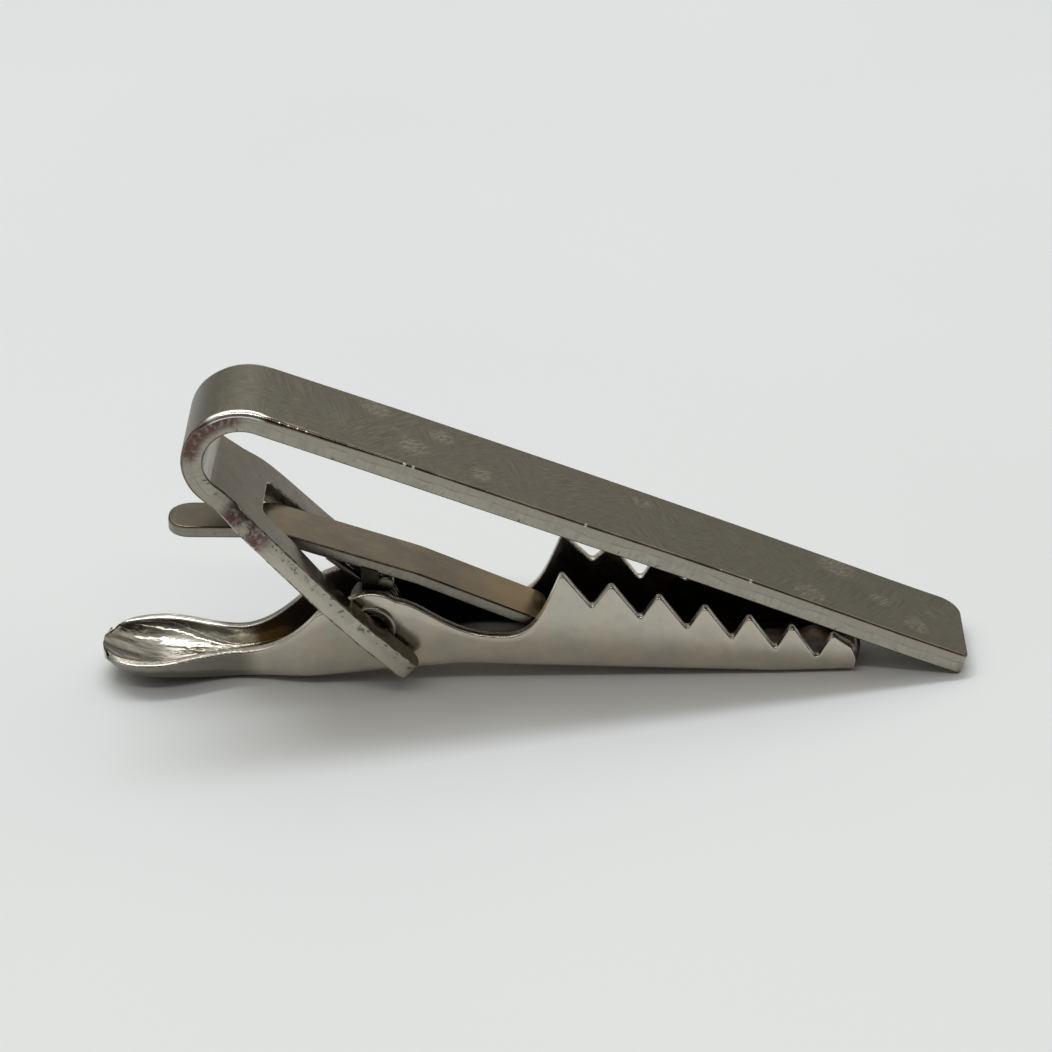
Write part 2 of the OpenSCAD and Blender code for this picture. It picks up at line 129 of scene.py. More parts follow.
class TIECLIP_PG_jaw(bpy.types.PropertyGroup):
    """Sizes of the toothed jaw and its thumb pad"""

    width: length("Width", "Outer width of the channel", 5.2 * MM)
    sheet: length("Sheet", "Thickness of the jaw's sheet", 0.6 * MM)
    fold_radius: length("Fold radius", "Outer radius of the channel's folds", 0.65 * MM)
    ear_radius: length("Ear radius", "Radius of the ear round the pivot", 2.05 * MM)
    belly: length("Belly", "Depth of the underside below the pivot", 3.0 * MM)
    notch: length("Notch", "Depth of the notch behind the first tooth below the pivot", 0.81 * MM)
    kink: length("Kink", "Distance from the pivot to the kink in the underside", 4.9 * MM)
    front_slope: angle("Front slope", "Slope of the toothed part's underside", 3.2)
    handle_slope: angle("Handle slope", "Slope of the handle's underside", 4.0)
    tooth_start: length("First tooth", "Distance from the pivot to the first tooth", 10.4 * MM)
    tooth_count: number("Teeth", "Number of teeth on each side", 7)
    tooth_pitch: length("Pitch", "Distance from the first tooth to the second", 2.66 * MM)
    tooth_shrink: length("Pitch step", "How much shorter each next pitch is", 0.09 * MM)
    tooth_depth: length("Tooth depth", "Depth of the valleys between the teeth", 1.76 * MM)
    tooth_round: length("Tooth rounding", "Radius of the teeth's tips", 0.2 * MM)
    bite_gap: length("Bite gap", "Gap between the first tooth and the bar", 2.13 * MM)
    nose_gap: length("Nose gap", "Gap between the last tooth and the bar", 0.4 * MM)
    nose_radius: length("Nose radius", "Radius of the rounded nose", 1.0 * MM)
    neck_start: length("Neck start", "Distance from the pivot to where the neck begins", 3.0 * MM)
    waist: length("Waist", "Distance from the pivot to the narrowest place", 7.6 * MM)
    waist_width: length("Waist width", "Width at the narrowest place", 3.45 * MM)
    pad_end: length("Pad end", "Distance from the pivot to the end of the thumb pad", 15.15 * MM)
    pad_width: length("Pad width", "Width of the thumb pad", 6.0 * MM)
    pad_rim: length("Pad rim", "Height of the thumb pad's rim above the table", 1.8 * MM)
    flutes: number("Flutes", "Number of flutes across the thumb pad", 4)
    flute_depth: length("Flute depth", "Depth of the flutes", 0.09 * MM)
    rim: length("Rim", "Rounding of the sheet's edges", 0.12 * MM)


class TIECLIP_PG_lever(bpy.types.PropertyGroup):
    """Sizes of the lever"""

    width: length("Width", "Width of the lever", 3.3 * MM)
    thickness: length("Thickness", "Thickness of the lever", 0.68 * MM)
    tab_width: length("Tab width", "Width of the thumb tab", 2.9 * MM)
    tab_end: length("Tab end", "Distance from the pivot to the end of the tab", 10.9 * MM)
    tab_top: length("Tab height", "Height of the tab's top above the pivot", 5.73 * MM)
    knee: length("Knee", "Distance from the pivot to the lever's slight knee", 2.7 * MM)
    knee_top: length("Knee height", "Height of the knee's top above the pivot", 2.7 * MM)
    reach: length("Reach", "Distance from the pivot to the end in the jaw", 9.45 * MM)
    reach_top: length("End depth", "Depth of the lever's end below the pivot", 0.5 * MM)
    bend_radius: length("Bend radius", "Radius of the lever's bends", 2.6 * MM)
    ear_width: length("Ear width", "Width of the ears on the tube", 1.0 * MM)
    ear_thickness: length("Ear thickness", "Thickness of the ears", 0.5 * MM)
    boss_radius: length("Boss radius", "Radius of the ears round the tube", 1.15 * MM)
    hole_radius: length("Hole radius", "Radius of the ears' holes", 0.85 * MM)
    stub_radius: length("Stub radius", "Radius of the round stubs", 0.46 * MM)
    rim: length("Rim", "Rounding of the lever's edges", 0.09 * MM)


class TIECLIP_PG_pivot(bpy.types.PropertyGroup):
    """Sizes of the pivot tube and the spring"""

    tube_radius: length("Tube radius", "Outer radius of the tube", 0.8 * MM)
    bore_radius: length("Bore radius", "Radius of the tube's bore", 0.55 * MM)
    flare_radius: length("Flare radius", "Radius of the flared ends", 1.3 * MM)
    flare_thickness: length("Flare thickness", "Thickness of the flared ends", 0.2 * MM)
    pip_length: length("Pip length", "Length of the pips that stand in the tube", 0.85 * MM)
    pip_radius: length("Pip radius", "Radius of the pips", 0.5 * MM)
    wire: length("Wire", "Diameter of the spring's wire", 0.42 * MM)
    coil_radius: length("Coil radius", "Mean radius of the coil", 1.2 * MM)
    coil_room: length("Coil half width", "Half of the width that the wire's middle takes up", 0.84 * MM)
    coil_turns: number("Turns", "Whole turns of the coil", 3)
    low_reach: length("Lower reach", "How far the spring's lower leg reaches from the pivot", 3.4 * MM)
    over_turn: angle("Coil end", "How far the coil runs on past the root of the upper leg", 36)
    high_reach: length("Upper reach", "How far the spring's upper leg reaches from the pivot", 2.3 * MM)


class TIECLIP_PG_finish(bpy.types.PropertyGroup):
    """Colours of the metal"""

    satin: colour("Satin nickel", "Brushed outer face of the bar", (0.168, 0.156, 0.122))
    edge: colour("Cut edge", "Sheared edges of the strip", (0.38, 0.352, 0.297))
    polished: colour("Polished nickel", "Jaw, leg and tube", (0.57, 0.53, 0.465))
    lever: colour("Lever nickel", "Lever and thumb tab", (0.25, 0.218, 0.165))
    # The spring wire is painted dark, a painted shade for the shade round the coil
    wire: colour("Spring wire", "Bare spring wire", (0.15, 0.142, 0.13))
    tarnish: colour("Tarnish", "Reddish brown spots where the plating is thin", (0.10, 0.05, 0.045))
    brushing: share("Brushing", "How strongly the brushed lines show", 0.5)


class TIECLIP_PG_stage(bpy.types.PropertyGroup):
    """Table, lamps and camera"""

    table: colour("Table", "Colour of the table", (0.74, 0.755, 0.765))
    distance: length("Camera distance", "Distance of the camera from the pivot", 219.87 * MM)
    lens: bpy.props.FloatProperty(
        name="Lens", description="Focal length of the camera", default=138.4, unit="CAMERA")
    horizon: share("Horizon", "Brightness of the room at table height", 0.34)
    ceiling: bpy.props.FloatProperty(
        name="Ceiling", description="Brightness of the room overhead", default=1.75, min=0.0,
        subtype="FACTOR")
    shade: share("Shade", "How much darker the room is above the camera", 0.85)
    key_power: power("Key lamp", "Power of the long lamp high behind the clip", 1.5)
    tube_power: power("Tube lamp", "Power of the long thin lamp above the camera", 0.36)


# Shapes seen from the side are lists of 2D points, X to the right and Z up, with the pivot at zero

def mix(a, b, k):
    return a + (b - a) * k


def smooth(k):
    k = min(1.0, max(0.0, k))
    return k * k * (3 - 2 * k)


def flat(x, z):
    return Vector((x, z))


def polar(radius, angle):
    return flat(radius * math.cos(angle), radius * math.sin(angle))


def steps(count):
    return [i / count for i in range(count + 1)]


def arc(centre, radius, start, end, count):
    return [centre + polar(radius, mix(start, end, k)) for k in steps(count)]


def bezier(a, b, c, d, count):
    return [a * (1 - k) ** 3 + 3 * b * k * (1 - k) ** 2 + 3 * c * k * k * (1 - k) + d * k ** 3
            for k in steps(count)]


def flowing(points, count):
    """A smooth curve through all the points"""
    ends = [2 * points[0] - points[1], *points, 2 * points[-1] - points[-2]]
    curve = []
    for a, b, c, d in zip(ends, ends[1:], ends[2:], ends[3:]):
        curve += bezier(b, b + (c - a) / 6, c - (d - b) / 6, c, count)[:-1]
    return curve + [points[-1]]


def height_at(curve, x):
    """The height of a curve at the place x along it"""
    for a, b in zip(curve, curve[1:]):
        if x <= b.x:
            return mix(a.y, b.y, max(0.0, (x - a.x) / (b.x - a.x)))
    return curve[-1].y


def filleted(points, radius, count=4):
    """The polyline with each inner corner rounded as far as its sides allow"""
    rounded = [points[0]]
    for a, b, c in zip(points, points[1:], points[2:]):
        back, on = a - b, c - b
        half = back.angle(on) / 2
        if half > math.radians(85):
            rounded.append(b)
            continue
        reach = min(radius / math.tan(half), 0.45 * back.length, 0.45 * on.length)
        back, on = back.normalized(), on.normalized()
        centre = b + (back + on).normalized() * reach / math.cos(half)
        first, last = b + back * reach - centre, b + on * reach - centre
        start = math.atan2(first.y, first.x)
        turn = (math.atan2(last.y, last.x) - start + math.pi) % (2 * math.pi) - math.pi
        rounded += arc(centre, first.length, start, start + turn, count)
    return rounded + [points[-1]]


class Route:
    """A line of straights and bends seen from the side, followed by its length"""

    def __init__(self, start, heading):
        self.parts = []
        self.start, self.heading, self.total = start, heading, 0.0

    def straight(self, length):
        self.parts.append((self.total, length, self.start, self.heading, 0.0))
        self.start = self.start + polar(length, self.heading)
        self.total += length
        return self

    def bend(self, radius, turn):
        """A bend to the left for a positive turn"""
        length = radius * abs(turn)
        self.parts.append((self.total, length, self.start, self.heading, turn / length))
        side = math.copysign(math.pi / 2, turn)
        centre = self.start + polar(radius, self.heading + side)
        self.start = centre + polar(radius, self.heading + turn - side)
        self.heading += turn
        self.total += length
        return self

    @classmethod
    def through(cls, points, radius):
        """Straights between the points, with a bend of that radius at each inner point"""
        route = cls(points[0], 0.0)
        begun = 0.0
        for i, (a, b) in enumerate(zip(points, points[1:])):
            heading = math.atan2((b - a).y, (b - a).x)
            if i == 0:
                route.heading = heading
            reach, turn = 0.0, 0.0
            if i + 2 < len(points):
                on = points[i + 2] - b
                turn = math.remainder(math.atan2(on.y, on.x) - heading, 2 * math.pi)
                reach = radius * math.tan(abs(turn) / 2)
            route.straight((b - a).length - begun - reach)
            if turn:
                route.bend(radius, turn)
            begun = reach
        return route

    def at(self, u):
        """The place and heading at the distance u"""
        part = self.parts[0]
        for candidate in self.parts:
            if u >= candidate[0]:
                part = candidate
        begun, _, start, heading, curl = part
        u -= begun
        if curl == 0:
            return start + polar(u, heading), heading
        radius = 1 / abs(curl)
        side = math.copysign(math.pi / 2, curl)
        centre = start + polar(radius, heading + side)
        return centre + polar(radius, heading + u * curl - side), heading + u * curl


# Meshes

def fresh_mesh():
    bm = bmesh.new()
    bm.verts.layers.float_vector.new("flat")
    return bm


def note_flat(bm):
    """Keeps where each vertex lies in the flat sheet, in millimetres, for the materials"""
    layer = bm.verts.layers.float_vector["flat"]
    for v in bm.verts:
        v[layer] = v.co / MM


def turn_outwards(bm):
    bmesh.ops.recalc_face_normals(bm, faces=list(bm.faces))


def weld(bm):
    """Joins the seams and turns the faces outwards"""
    bmesh.ops.remove_doubles(bm, verts=list(bm.verts), dist=1e-7)
    turn_outwards(bm)


def blank(outline, thickness, face_rim, back_rim, cuts, swell=None):
    """A flat blank of strip: X along it, Y across, its back at zero height and its face on top.
    The swell is how much rounder the face's rim is at each place.
    Material 0 is the face, 1 the back, 2 the cut edge and 3 the rounded rims."""
    bm = fresh_mesh()
    ahead = outline[1:] + outline[:1]
    turning = math.copysign(1, sum(a.x * b.y - a.y * b.x for a, b in zip(outline, ahead)))
    inward = []
    for before, here, after in zip(outline[-1:] + outline, outline, ahead):
        heading = (here - before).normalized()
        along = (heading + (after - here).normalized()).normalized()
        inward.append(flat(-along.y, along.x) * turning / max(0.5, along.dot(heading)))
    quarter = [math.pi / 2 * k for k in steps(4)]
    # How far each level is drawn in, and its depth below the face
    levels = [(back_rim * (1 - math.sin(a)), thickness - back_rim * (1 - math.cos(a))) for a in quarter]
    levels += [(face_rim * (1 - math.cos(a)), face_rim * (1 - math.sin(a))) for a in quarter]
    rings = []
    for level, (inset, depth) in enumerate(levels):
        ring = []
        for p, side in zip(outline, inward):
            grown = swell(p.x) if swell and level >= len(quarter) else 1.0
            ring.append(bm.verts.new((*(p + side * inset * grown), thickness - depth * grown)))
        rings.append(ring)
    bm.faces.new(rings[-1]).material_index = 0
    bm.faces.new(list(reversed(rings[0]))).material_index = 1
    for level, (low, high) in enumerate(zip(rings, rings[1:])):
        for a, b, c, d in zip(low, low[1:] + low[:1], high[1:] + high[:1], high):
            bm.faces.new((a, b, c, d)).material_index = 2 if level == len(quarter) - 1 else 3
    for x in cuts:
        geometry = list(bm.verts) + list(bm.edges) + list(bm.faces)
        bmesh.ops.bisect_plane(bm, geom=geometry, plane_co=(x, 0, 0), plane_no=(1, 0, 0))
    note_flat(bm)
    return bm


def follow(bm, route, side, lift=None):
    """Bends a blank along a route. The blank's face lies on the route and its back to that side of it."""
    depth = max(v.co.z for v in bm.verts)
    for v in bm.verts:
        place, heading = route.at(v.co.x)
        across = polar(side, heading + math.pi / 2)
        rise = lift(v.co.x, v.co.y) if lift else 0.0
        place = place + across * (depth - v.co.z - rise)
        v.co = Vector((place.x, v.co.y, place.y))
    turn_outwards(bm)


def loft(rings, notes, sides):
    """A skin over rings of points, each ring the outline of a bent sheet: its outer path, then its inner
    path back. The notes are the points' places in the sheet, and the sides say which side they are on."""
    bm = fresh_mesh()
    bm.verts.layers.float_vector.new("side")
    flat_layer = bm.verts.layers.float_vector["flat"]
    side_layer = bm.verts.layers.float_vector["side"]
    rows = []
    for ring, note in zip(rings, notes):
        row = [bm.verts.new(p) for p in ring]
        for v, n, side in zip(row, note, sides):
            v[flat_layer] = Vector(n) / MM
            v[side_layer] = side
        rows.append(row)
    count = len(rows[0])
    for low, high in zip(rows, rows[1:]):
        for j in range(count):
            k = (j + 1) % count
            bm.faces.new((low[j], low[k], high[k], high[j]))
    for row in (rows[0], rows[-1]):
        for j in range(count // 2 - 1):
            bm.faces.new((row[j], row[j + 1], row[count - 2 - j], row[count - 1 - j]))
    turn_outwards(bm)
    return bm


def cut_corner(bm, centre, radius, direction):
    """Cuts off, and closes, what lies past the circle's tangent plane in that direction, seen from the
    side"""
    edge = centre + polar(radius, direction)
    normal = polar(1, direction)
    cut = bmesh.ops.bisect_plane(
        bm, geom=list(bm.verts) + list(bm.edges) + list(bm.faces),
        plane_co=(edge.x, 0, edge.y), plane_no=(normal.x, 0, normal.y), clear_outer=True)
    open_edges = [g for g in cut["geom_cut"] if isinstance(g, bmesh.types.BMEdge) and g.is_boundary]
    bmesh.ops.holes_fill(bm, edges=open_edges, sides=0)


def bored(bm, radius, reach):
    """The mesh with a round hole through it along Y, round the pivot"""
    drill = bmesh.new()
    bmesh.ops.create_cone(
        drill, cap_ends=True, segments=48, radius1=radius, radius2=radius, depth=2 * reach,
        matrix=Matrix.Rotation(math.pi / 2, 4, "X"))
    things = []
    for part in (bm, drill):
        mesh = bpy.data.meshes.new("drilling")
        part.to_mesh(mesh)
        part.free()
        things.append(bpy.data.objects.new("drilling", mesh))
        bpy.context.scene.collection.objects.link(things[-1])
    hole = things[0].modifiers.new("hole", "BOOLEAN")
    hole.operation = "DIFFERENCE"
    hole.solver = "EXACT"
    hole.object = things[1]
    drilled = bmesh.new()
    drilled.from_object(things[0], bpy.context.evaluated_depsgraph_get())
    for thing in things:
        mesh = thing.data
        bpy.data.objects.remove(thing)
        bpy.data.meshes.remove(mesh)
    return drilled


def lathe(bm, profile, count, centre=Vector((0, 0, 0))):
    """Turns a closed profile of (radius, place along Y) round the Y axis"""
    layer = bm.verts.layers.float_vector["flat"]
    rows = []
    for i in range(count):
        a = 2 * math.pi * i / count
        row = []
        for p in profile:
            v = bm.verts.new(centre + Vector((p.x * math.cos(a), p.y, p.x * math.sin(a))))
            v[layer] = Vector((p.x * a, p.y, 0)) / MM
            row.append(v)
        rows.append(row)
    faces = []
    size = len(profile)
    for i in range(count):
        for j in range(size):
            a, b = rows[i], rows[(i + 1) % count]
            k = (j + 1) % size
            corners = []
            for v in (a[j], a[k], b[k], b[j]):
                if all((v.co - other.co).length > 1e-9 for other in corners):
                    corners.append(v)
            if len(corners) > 2:
                faces.append(bm.faces.new(corners))
    return faces


def wire_tube(bm, points, radius, sides):
    """A round wire along the points, with flat ends"""
    layer = bm.verts.layers.float_vector["flat"]
    rows, along = [], 0.0
    across = Vector((0, 1, 0))
    for i, p in enumerate(points):
        before, after = points[max(i - 1, 0)], points[min(i + 1, len(points) - 1)]
        heading = (after - before).normalized()
        across = (across - heading * across.dot(heading)).normalized()
        other = heading.cross(across)
        along += (p - before).length
        row = []
        for j in range(sides):
            a = 2 * math.pi * j / sides
            v = bm.verts.new(p + (across * math.cos(a) + other * math.sin(a)) * radius)
            v[layer] = Vector((along, radius * a, 0)) / MM
            row.append(v)
        rows.append(row)
    for low, high in zip(rows, rows[1:]):
        for j in range(sides):
            k = (j + 1) % sides
            bm.faces.new((low[j], high[j], high[k], low[k]))
    bm.faces.new(rows[0])
    bm.faces.new(list(reversed(rows[-1])))


def plate(outline, hole, thickness, low_y, rim):
    """A flat plate that stands across Y, with a round hole at the pivot, and rounded rims"""
    bm = fresh_mesh()
    edges = []
    for loop in (outline, hole):
        verts = [bm.verts.new((p.x, 0, p.y)) for p in loop]
        edges += [bm.edges.new((a, b)) for a, b in zip(verts, verts[1:] + verts[:1])]
    bmesh.ops.triangle_fill(bm, edges=edges, use_beauty=True, use_dissolve=False)
    made = bmesh.ops.extrude_face_region(bm, geom=list(bm.faces))
    moved = [g for g in made["geom"] if isinstance(g, bmesh.types.BMVert)]
    bmesh.ops.translate(bm, verts=moved, vec=(0, thickness, 0))
    turn_outwards(bm)
    rims = [e for e in bm.edges if len(e.link_faces) == 2 and e.calc_face_angle() > SHARP_ANGLE * 2]
    bmesh.ops.bevel(
        bm, geom=rims, offset=rim, segments=2, profile=0.5, affect="EDGES", clamp_overlap=True)
    bmesh.ops.translate(bm, verts=list(bm.verts), vec=(0, low_y, 0))
    note_flat(bm)
    return bm


def gathered(parts):
    """One mesh of several"""
    whole = fresh_mesh()
    for part in parts:
        mesh = bpy.data.meshes.new("part")
        part.to_mesh(mesh)
        part.free()
        whole.from_mesh(mesh)
        bpy.data.meshes.remove(mesh)
    return whole


def mirrored(bm):
    twin = bm.copy()
    bmesh.ops.scale(twin, vec=(1, -1, 1), verts=list(twin.verts))
    bmesh.ops.reverse_faces(twin, faces=list(twin.faces))
    return twin


def make_piece(name, bm, body, node, materials):
    """The finished piece, moved from the pivot to its place in the frame"""
    old = bpy.data.objects.get(name)
    if old is not None:
        bpy.data.objects.remove(old)
    bmesh.ops.translate(bm, verts=list(bm.verts), vec=PIVOT)
    mesh = bpy.data.meshes.new(name)
    bm.to_mesh(mesh)
    bm.free()
    for material in materials:
        mesh.materials.append(material)
    mesh.polygons.foreach_set("use_smooth", [True] * len(mesh.polygons))
    mesh.set_sharp_from_angle(angle=SHARP_ANGLE)
    piece = bpy.data.objects.new(name, mesh)
    bpy.context.scene.collection.objects.link(piece)
    # Keeps the flat faces flat in the shading beside their narrow rims
    shading = piece.modifiers.new("flat shading", "WEIGHTED_NORMAL")
    shading.keep_sharp = True
    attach(piece, body)
    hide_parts(node)


# Materials

class Nodes:
    """Short names for the shader nodes used here"""

    def __init__(self, name):
        old = bpy.data.materials.get(name)
        if old is not None:
            bpy.data.materials.remove(old)
        self.material = bpy.data.materials.new(name)
        self.material.use_nodes = True
        self.tree = self.material.node_tree
        self.shader = self.tree.nodes["Principled BSDF"]

    def new(self, kind, **values):
        node = self.tree.nodes.new(kind)
        for key, value in values.items():
            setattr(node, key, value)
        return node

    def feed(self, socket, value):
        if isinstance(value, bpy.types.NodeSocket):
            self.tree.links.new(value, socket)
        elif socket.type == "RGBA":
            socket.default_value = (*value, 1.0)
        else:
            socket.default_value = value

    def place(self):
        return self.new("ShaderNodeAttribute", attribute_name="flat").outputs["Vector"]

    def side(self):
        """Whether a place is inside the jaw, whether it is on a rim, and nothing"""
        return self.split(self.new("ShaderNodeAttribute", attribute_name="side").outputs["Vector"])

    def scaled(self, vector, scale=(1, 1, 1), shift=(0, 0, 0), turn=(0, 0, 0)):
        node = self.new("ShaderNodeMapping")
        self.feed(node.inputs["Vector"], vector)
        node.inputs["Scale"].default_value = scale
        node.inputs["Location"].default_value = shift
        node.inputs["Rotation"].default_value = turn
        return node.outputs["Vector"]

    def noise(self, vector, scale, detail=3.0, roughness=0.5, distortion=0.0):
        node = self.new("ShaderNodeTexNoise")
        self.feed(node.inputs["Vector"], vector)
        node.inputs["Scale"].default_value = scale
        node.inputs["Detail"].default_value = detail
        node.inputs["Roughness"].default_value = roughness
        node.inputs["Distortion"].default_value = distortion
        return node.outputs["Fac"]

    def math(self, operation, a, b=0.0, clamp=False):
        node = self.new("ShaderNodeMath", operation=operation, use_clamp=clamp)
        self.feed(node.inputs[0], a)
        self.feed(node.inputs[1], b)
        return node.outputs[0]

    def times(self, value, *factors):
        for factor in factors:
            value = self.math("MULTIPLY", value, factor)
        return value

    def vector(self, operation, a, b):
        node = self.new("ShaderNodeVectorMath", operation=operation)
        self.feed(node.inputs[0], a)
        self.feed(node.inputs[1], b)
        return node.outputs["Value"] if operation in ("DISTANCE", "LENGTH") else node.outputs["Vector"]

    def split(self, vector):
        node = self.new("ShaderNodeSeparateXYZ")
        self.feed(node.inputs[0], vector)
        return node.outputs

    def joined(self, x, y, z):
        node = self.new("ShaderNodeCombineXYZ")
        for socket, value in zip(node.inputs, (x, y, z)):
            self.feed(socket, value)
        return node.outputs[0]

    def between(self, value, low, high, to_low=0.0, to_high=1.0):
        """The value's place between low and high, eased and kept between the two ends"""
        node = self.new("ShaderNodeMapRange", interpolation_type="SMOOTHSTEP")
        self.feed(node.inputs["Value"], value)
        node.inputs["From Min"].default_value = low
        node.inputs["From Max"].default_value = high
        node.inputs["To Min"].default_value = to_low
        node.inputs["To Max"].default_value = to_high
        return node.outputs["Result"]

    def stretch(self, value, start, full, fading, end):
        """One on a stretch of the value's range, eased at both of its ends"""
        return self.times(self.between(value, start, full), self.between(value, end, fading))

    def blend(self, amount, a, b):
        node = self.new("ShaderNodeMix", data_type="RGBA")
        self.feed(node.inputs[0], amount)
        self.feed(node.inputs[6], a)
        self.feed(node.inputs[7], b)
        return node.outputs[2]

    def bump(self, height, distance, strength=1.0, below=None):
        node = self.new("ShaderNodeBump")
        self.feed(node.inputs["Height"], height)
        node.inputs["Distance"].default_value = distance
        node.inputs["Strength"].default_value = strength
        if below is not None:
            self.feed(node.inputs["Normal"], below)
        return node.outputs["Normal"]

    def metal(self, base, roughness, normal=None):
        self.feed(self.shader.inputs["Base Color"], base)
        self.feed(self.shader.inputs["Roughness"], roughness)
        self.shader.inputs["Metallic"].default_value = 1.0
        if normal is not None:
            self.feed(self.shader.inputs["Normal"], normal)
        return self.material


def shade(base, factor):
    return tuple(min(1.0, c * factor) for c in base)


# Rubbed marks on the bar's face: distance from the tip, place across and size, in millimetres
RUBS = [(34.5, 2.1, 0.55), (32.3, -0.7, 0.6), (30.7, 1.4, 0.45), (28.3, -1.3, 0.45), (9.3, -2.1, 0.6),
        (7.5, 2.2, 0.8), (3.0, -1.4, 0.5), (19.1, 1.6, 0.35), (5.0, 0.1, 0.4)]
# Painted highlights at nicks along the rim, by their distance from the tip in millimetres
NICK_GLINTS = [39.6, 39.1, 38.6, 38.1, 32.6, 32.1, 22.3, 12.8]


def arcs(n, place, centre, scale, stretch, shift):
    """Fine lines along circles round a point, as a swung brush leaves them"""
    away = n.vector("SUBTRACT", place, (*centre, 0.0))
    x, y, _ = n.split(away)
    radius = n.vector("LENGTH", n.joined(x, y, 0.0), (0, 0, 0))
    turn = n.math("ARCTAN2", y, x)
    along = n.times(turn, stretch)
    return n.noise(n.joined(n.times(radius, scale), along, shift), 1.0, 4.0, 0.6)


def near(n, place, spot, reach):
    """One within the reach of a spot, fading to nothing at twice the reach"""
    return n.between(n.vector("DISTANCE", place, spot), reach * 2, reach)


def satin_face(finish):
    """Fine brushed arcs that cross each other, with pale rubbed marks"""
    n = Nodes("satin_nickel_face")
    place = n.place()

    def grey(value):
        return n.joined(value, value, value)

    swung = arcs(n, place, (12.0, -16.0), 8.5, 20.0, 0.0)
    crossed = arcs(n, place, (38.0, 15.0), 8.0, 18.0, 5.0)
    third = arcs(n, place, (-6.0, 13.0), 8.5, 18.0, 9.0)
    patches = n.noise(place, 0.3, 3.0, 0.6)
    other = n.noise(n.scaled(place, shift=(7.0, 3.0, 1.0)), 0.35, 3.0, 0.6)
    grain = n.blend(n.between(patches, 0.38, 0.62), grey(swung), grey(crossed))
    grain = n.blend(n.between(other, 0.42, 0.66), grain, grey(third))
    grain = n.split(grain)[0]
    base = n.blend(n.between(grain, 0.3, 0.7), shade(finish.satin, 0.8), shade(finish.satin, 1.2))
    base = n.blend(n.between(patches, 0.3, 0.7, 0.0, 0.3), base, shade(finish.satin, 0.9))
    # Short pale strokes in small clusters, about a millimetre across
    spots = n.noise(n.scaled(place, (0.8, 1.1, 1.0), shift=(3.1, 0.4, 0)), 0.7, 3.0, 0.55)
    slanting = n.scaled(n.scaled(place, turn=(0, 0, 0.8)), (1.2, 7.0, 1.0))
    strokes = n.noise(slanting, 1.8, 3.0, 0.6)
    rubs_and_highlight = n.between(spots, 0.64, 0.74, 0.0, 0.5)
    for x, y, reach in RUBS:
        rubs_and_highlight = n.math("MAXIMUM", rubs_and_highlight, near(n, place, (x, y, 1.2), reach))
    rubs = n.times(rubs_and_highlight, n.between(strokes, 0.44, 0.6))
    base = n.blend(n.times(rubs, 0.42), base, shade(finish.satin, 2.2))
    rough = n.math("ADD", n.between(grain, 0.3, 0.7, 0.33, 0.41), n.times(rubs, 0.1))
    return n.metal(base, rough, n.bump(grain, 0.01 * MM, finish.brushing))


def cut_edge(name, edge, tarnish, stained=False):
    """Sheared edge: a smooth band under the face, a torn band with dark specks at the back, and, where it
    is stained, some tarnish"""
    n = Nodes(name)
    place = n.place()
    x, y, z = n.split(place)
    marks = n.noise(n.scaled(place, (1.5, 1.5, 1.1)), 2.6, 4.0, 0.62)
    scuffs = n.noise(n.scaled(place, (1.1, 1.1, 1.6)), 1.1, 5.0, 0.7)
    clusters = n.noise(place, 0.45, 2.0, 0.5)
    slow = n.noise(n.scaled(place, (0.4, 0.4, 0.0)), 1.0, 2.0)
    wander = n.times(n.math("SUBTRACT", slow, 0.5), 0.5)
    level = n.math("ADD", z, wander)
    streaks = n.noise(n.scaled(place, (1.0, 1.0, 0.2)), 5.0, 3.0, 0.6)
    base = n.blend(n.between(scuffs, 0.34, 0.68), shade(edge, 0.88), shade(edge, 1.14))
    base = n.blend(n.between(streaks, 0.45, 0.65, 0.0, 0.35), base, shade(edge, 0.66))
    pink = tuple(c * k for c, k in zip(edge, (0.90, 0.855, 0.85)))
    base = n.blend(n.between(level, 0.55, 0.85, 0.0, 0.55), base, pink)
    border = n.stretch(level, 0.58, 0.64, 0.66, 0.72)
    base = n.blend(n.times(border, n.between(scuffs, 0.35, 0.6, 0.0, 0.6)), base, shade(edge, 0.5))
    # The torn part is rougher on the leg than on the bar
    leg = n.between(x, 47.0, 50.0, 0.0, 0.25) if stained else 0.0
    if stained:
        base = n.blend(n.between(x, 50.0, 56.0, 0.0, 0.8), base, shade(edge, 1.4))
    low = n.between(n.math("SUBTRACT", z, leg), 0.5, 0.1)
    torn = n.between(n.math("ADD", marks, n.times(clusters, 0.3)), 0.7, 0.78)
    torn = n.times(n.between(n.math("ADD", marks, leg), 0.6, 0.7), n.math("MAXIMUM", torn, leg))
    base = n.blend(n.times(torn, n.times(low, 0.85)), base, shade(edge, 0.25))
    if stained:
        spots = n.noise(place, 0.9, 4.0, 0.65)
        bend = n.times(n.stretch(x, 41.2, 42.4, 45.8, 46.8), n.between(z, 0.1, 0.6))
        patch = n.times(n.stretch(x, 49.9, 50.7, 52.6, 53.6), n.between(spots, 0.34, 0.46))
        zone = n.times(n.math("ADD", bend, patch, clamp=True), n.between(y, 0.0, -1.0))
        shade_and_stain = n.times(zone, n.between(marks, 0.36, 0.5, 0.5, 1.0))
        base = n.blend(n.times(shade_and_stain, 0.9), base, tuple(tarnish))
    rough = n.between(scuffs, 0.3, 0.75, 0.26, 0.42)
    height = n.math("ADD", n.times(marks, low, 0.8), n.times(scuffs, 0.4))
    return n.metal(base, rough, n.bump(height, 0.04 * MM, 0.6))


